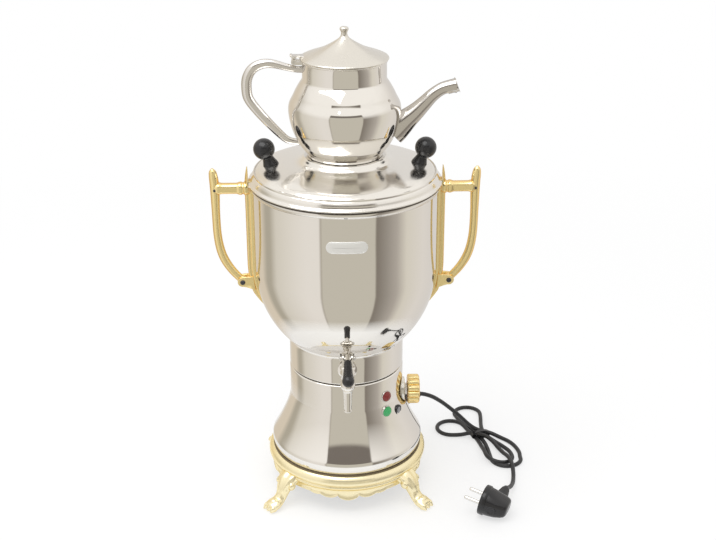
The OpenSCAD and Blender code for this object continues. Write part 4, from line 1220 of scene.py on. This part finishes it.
at_reset = on_bell(RESET_TURN, RESET_UP)
rim_line = [(4.3, -22), (5, -22), (5, -4), (6.3, -4), (6.3, 0.5), (6, 0.9), (5.4, 1), (5.1, 0.7), (4.3, -0.6)]
cap_line = [(0, -5), (4.2, -5), (4.2, 0.3), (4, 0.9), (3.5, 1.2), (2.6, 1.1), (0, 0.9)]
make("reset_rim", [turned(rim_line, 64, at_reset)], "base", "black_plastic", ["reset_housing"])
make("reset_cap", [turned(cap_line, 64, at_reset)], "button", "grey_plastic", ["reset_button"])


# %% [markdown]
# The small plate on the front is bare. It is a strip of brushed metal bent to the boiler's curve, with a
# bevelled edge and a groove inside it, so it is built flat and then wrapped round the wall.

# %% The front plate
PLATE_WIDE = 45.0
PLATE_TALL = 13.5
PLATE_UP = 343.0
PLATE_STEPS = 16

flat = (PLATE_WIDE - PLATE_TALL) / 2
plate_rings = []
for inset, lift in ((0, -0.3), (0, 0.45), (0.15, 0.7), (0.4, 0.8), (1, 0.8), (1.15, 0.6), (1.5, 0.6),
                    (1.65, 0.8), (3.4, 0.8), (5, 0.8), (6.6, 0.8)):
    end = PLATE_TALL / 2 - inset
    along = [flat - 2 * flat * k / PLATE_STEPS for k in range(1, PLATE_STEPS)]
    outline = (
        arc((flat, 0), (end, end), -90, 90, 20) + [(u, end) for u in along]
        + arc((-flat, 0), (end, end), 90, 270, 20) + [(-u, -end) for u in along]
    )
    r = BOWL_R + lift
    bent = [(u / BOWL_R, v) for u, v in outline]
    plate_rings.append([(r * math.sin(a), -r * math.cos(a), PLATE_UP + v) for a, v in bent])
metal("plate_silver", (0.95, 0.955, 0.945), 0.36, 0.44, 60, 0.004, 0.6)
make("front_plate", [lofted(plate_rings)], "base", "satin_steel", ["name_plate"], finish="plate_silver")


# %% [markdown]
# The teapot's spout is pressed in two halves and welded. It leaves the belly wide and deep, rises, and
# levels off at a mouth that is turned up so the last drop runs back. The loft goes to the mouth, turns
# over its edge and comes back a little way inside, so the mouth is open and has a wall.

# %% Spout
MOUTH = (122.2, 0, 490.4)
MOUTH_TIP = 22

spout_path, spout_sizes = tapered([
    (52, 439, 13.6, 16.4), (57, 443, 12.8, 15.6), (63, 448, 11.8, 13.8), (70, 454, 10.6, 11.6),
    (78, 461, 9.4, 9.8), (87, 470, 8, 8.3), (96, 479.2, 7.2, 7.3), (106, 486.2, 6.8, 6.9),
    (115, 488.8, 6.9, 7.3), (121.4, 489.6, 7.4, 8.2)], 5)
spout_rings = sweep_rings(spout_path, spout_sizes, section(40))
at_mouth = shift(*MOUTH) @ turn_by(-MOUTH_TIP, "Y") @ turn_by(90, "Y")
for radius_down, radius_side, back in (
        (8.9, 7.7, 0), (8.7, 7.5, 0.5), (8.1, 6.9, 0.5), (7.8, 6.6, 0), (7.2, 6.1, -4), (6.2, 5.4, -12)):
    spout_rings.append([at_mouth @ Vector((v * radius_down, u * radius_side, back)) for u, v in section(40)])
# Its darker edge colour is painted shade along the spout's sides.
metal("drawn_steel", (0.70, 0.675, 0.64), 0.1, 0.18, 50, 0.15, edge=(0.40, 0.375, 0.35))
spout = lofted(spout_rings)
make("teapot_spout_shell", [spout], "teapot", "mirror_steel", ["teapot_spout"], 55, "drawn_steel")


# %% [markdown]
# The loop handle is a cast bar that leaves the neck below the hinge, swings out far enough for a hand and
# comes back to the belly. A bent tube would be as thick all along. This bar is thinner at both ends than
# at its crown, so it is a loft, and each row of its table gives a place and a thickness.

# %% Loop handle
loop_path, loop_sizes = tapered([
    (-42, 509, 3, 3.8), (-52, 509.2, 3.1, 3.6), (-64, 512, 3.4, 4), (-79, 515.6, 4, 4.8),
    (-90, 514.8, 4.6, 5.3), (-99.5, 509.5, 5.1, 5.6), (-105, 500, 5.4, 5.7), (-106.2, 489, 5.5, 5.7),
    (-104.5, 477.5, 5.3, 5.6), (-96.7, 465.5, 4.7, 5.4), (-84.4, 450.8, 4.1, 5), (-71, 436.6, 3.5, 4.5),
    (-63, 430, 3.1, 4), (-53, 427.5, 3, 3.6), (-44, 427, 3.4, 3.8)], 6)
loop = lofted(sweep_rings(loop_path, loop_sizes, section(36, 1.9)))
# Its darker edge colour is painted shade along the handle's sides.
metal("cast_steel", (0.84, 0.82, 0.79), 0.1, 0.18, 50, 0.15, edge=(0.48, 0.455, 0.43))
make("teapot_loop_handle", [loop], "teapot", "mirror_steel", ["teapot_handle"], 60, "cast_steel")


# %% [markdown]
# The hinge's leaf is a stamped plate on the teapot's lid, with a turned-up lip for the thumb. A web below
# it carries the knuckle, a short tube that turns on the hinge's pin. Four simple parts in one piece are
# easier to change than one carved block, and their overlaps don't show.

# %% Hinge leaf
HINGE = (-54.3, 0, 518.4)
LEAF_UP = 523

at_hinge = shift(*HINGE) @ turn_by(90, "X")
leaf_line = (
    arc((-55.6, 2.6), (2.8, 3.4), 180, 90, 6)
    + [(-53.2, 5.6), (-50, 5), (-44, 6.4), (-43.4, -6.4), (-50, -5), (-53.2, -5.6)]
    + arc((-55.6, -2.6), (2.8, 3.4), 270, 180, 6)
)
leaf_plate = slab(leaf_line, LEAF_UP, LEAF_UP + 1.6, 0.5)
thumb_lip = egg((-57.2, 0, 524.8), (1.5, 5, 1.4))
knuckle = turned([(1.25, -4), (2.8, -4), (3, -3.7), (3, 3.7), (2.8, 4), (1.25, 4)], 48, at_hinge)
leaf_web = moved(slab([(-1.5, 0.5), (1.5, 0.5), (1.9, 5.2), (-1.9, 5.2)], -3.9, 3.9, 0.3), at_hinge)
leaf_parts = [leaf_plate, thumb_lip, knuckle, leaf_web]
make("hinge_leaf", leaf_parts, "teapot_cover", "mirror_steel", ["lid_leaf"])


# %% [markdown]
# The lead ends in a moulded plug with its neck at a right angle. A rounded box could stand for its body,
# but the contact face is round and the back is thin for the fingers, so it is a loft from one to the
# other. Ribs on its neck let the cable bend without a kink.

# %% The plug
PLUG_AT = (156, -91, 19.3)
PLUG_TURN = 155
PLUG_TIP = 11
PINS_APART = 19.0


def ribbed(start, stop, low, high, ribs):
    """Part of an outline with ribs, from one radius to another over a length."""
    line = []
    for rib in range(ribs):
        for offset, deep in ((0.12, 0), (0.5, 0), (0.62, 0.55), (0.88, 0.55)):
            t = (rib + offset) / ribs
            line.append((low + (high - low) * t - deep, start + (stop - start) * t))
    return line


on_plug = shift(*PLUG_AT) @ turn_by(PLUG_TURN, "Z") @ turn_by(-PLUG_TIP, "Y")
plug_rings = []
for x, wide, tall, power, middle in (
        (0, 16.4, 16.4, 2, 0), (-0.5, 17.5, 17.5, 2, 0), (-1.4, 18, 18, 2, 0), (-6.2, 18, 18, 2, 0),
        (-7, 17.6, 17.6, 2, 0), (-7.3, 16.8, 16.8, 2, 0), (-8.4, 16.6, 16.4, 2.1, 0), (-13, 16.2, 15, 2.4, 0),
        (-20, 15.4, 12.8, 2.8, 0), (-27, 13.6, 10.8, 3, -0.6), (-30.6, 11.8, 9.4, 3, -1),
        (-32, 10, 8, 2.8, -1.2), (-32.6, 7.6, 6, 2.6, -1.4)):
    plug_rings.append([(x, middle + wide * u, tall * v) for u, v in section(64, power)])
neck_line = (
    [(0, 4), (9.6, 4), (9.4, 12)] + ribbed(13, 35, 8.6, 4.9, 7)
    + [(4.2, 36), (3.6, 38), (2.6, 38.4), (2.6, 30), (0, 30)]
)
recess_line = [(0, -0.9), (3.2, -0.8), (4, 0.2), (4.8, 0.5), (5.6, 0.2), (5.9, -0.8), (5.9, -3), (0, -3)]
plug_parts = [
    moved(lofted(plug_rings), on_plug),
    turned(neck_line, 48, on_plug, shift(-18, 0, 0), turn_by(90, "X")),
    turned(recess_line, 48, on_plug, shift(-15.5, 16, 0), turn_by(-90, "X")),
]
plug = make("plug_moulding", plug_parts, "base", "black_plastic", ["plug_body"], sharp=45)
pin_line = [(0, -2), (2.9, -2), (2.9, 0.5), (2.4, 0.9), (2.4, 17), (2.1, 18.2), (1.2, 18.9), (0, 19)]
pin_pair = [
    turned(pin_line, 40, on_plug, shift(0, side * PINS_APART / 2, 0), turn_by(90, "Y")) for side in (-1, 1)
]
pins = make("plug_contact_pins", pin_pair, "base", "pin_metal", ["plug_pins"])


# %% [markdown]
# The lead leaves the bell through a rubber sleeve with the same ribs, so the same helper draws it. A flat
# strap ties the hank where all its loops lie side by side. It is a small loft that closes on itself, a
# little squarer than a circle, as a strap round several cables is.

# %% Sleeve and tie
SLEEVE_TURN = 30
SLEEVE_OUT = 81.9
TIE_HALF_WIDE = 12.6
TIE_HALF_TALL = 5.0

sleeve_line = (
    [(2.6, -9), (9, -9), (9, 4.2), (8.5, 5), (6.4, 5.4)] + ribbed(6, 22.6, 6, 4.6, 7)
    + [(4.2, 23.4), (3.6, 24.2), (2.6, 24.2)]
)
at_sleeve = turn_by(SLEEVE_TURN, "Z") @ shift(SLEEVE_OUT, 0, cord_exit[2]) @ turn_by(90, "Y")
sleeve = make("lead_sleeve", [turned(sleeve_line, 48, at_sleeve)], "base", "black_rubber", ["cord_gland"])

tie_shape = [(-0.55, -2.5), (0.55, -2.5), (0.55, 2.5), (-0.55, 2.5)]
tie_middle = Vector((173.5, 78.5, 5.6))
hank_along = Vector((0.31, -0.95, 0)).normalized()
hank_across = Vector((0.95, 0.31, 0)).normalized()
tie_rings = []
for c, s, up in round_ring(48, 1, 0):
    out = hank_across * math.copysign(abs(c) ** 0.8, c) * TIE_HALF_WIDE + Vector((0, 0, TIE_HALF_TALL * s))
    away = out.normalized()
    tie_rings.append([tie_middle + out + away * d + hank_along * w for d, w in tie_shape])
tie = make("hank_tie", [lofted(tie_rings, looped=True)], "base", "black_plastic")


# %% [markdown]
# The lead is complete now that its plug, its sleeve and its tie have their places.


# %% [markdown]
# Last, the view layer is brought up to date, so every piece and its body stand where they were put.

# %% Bring the scene up to date
bpy.context.view_layer.update()
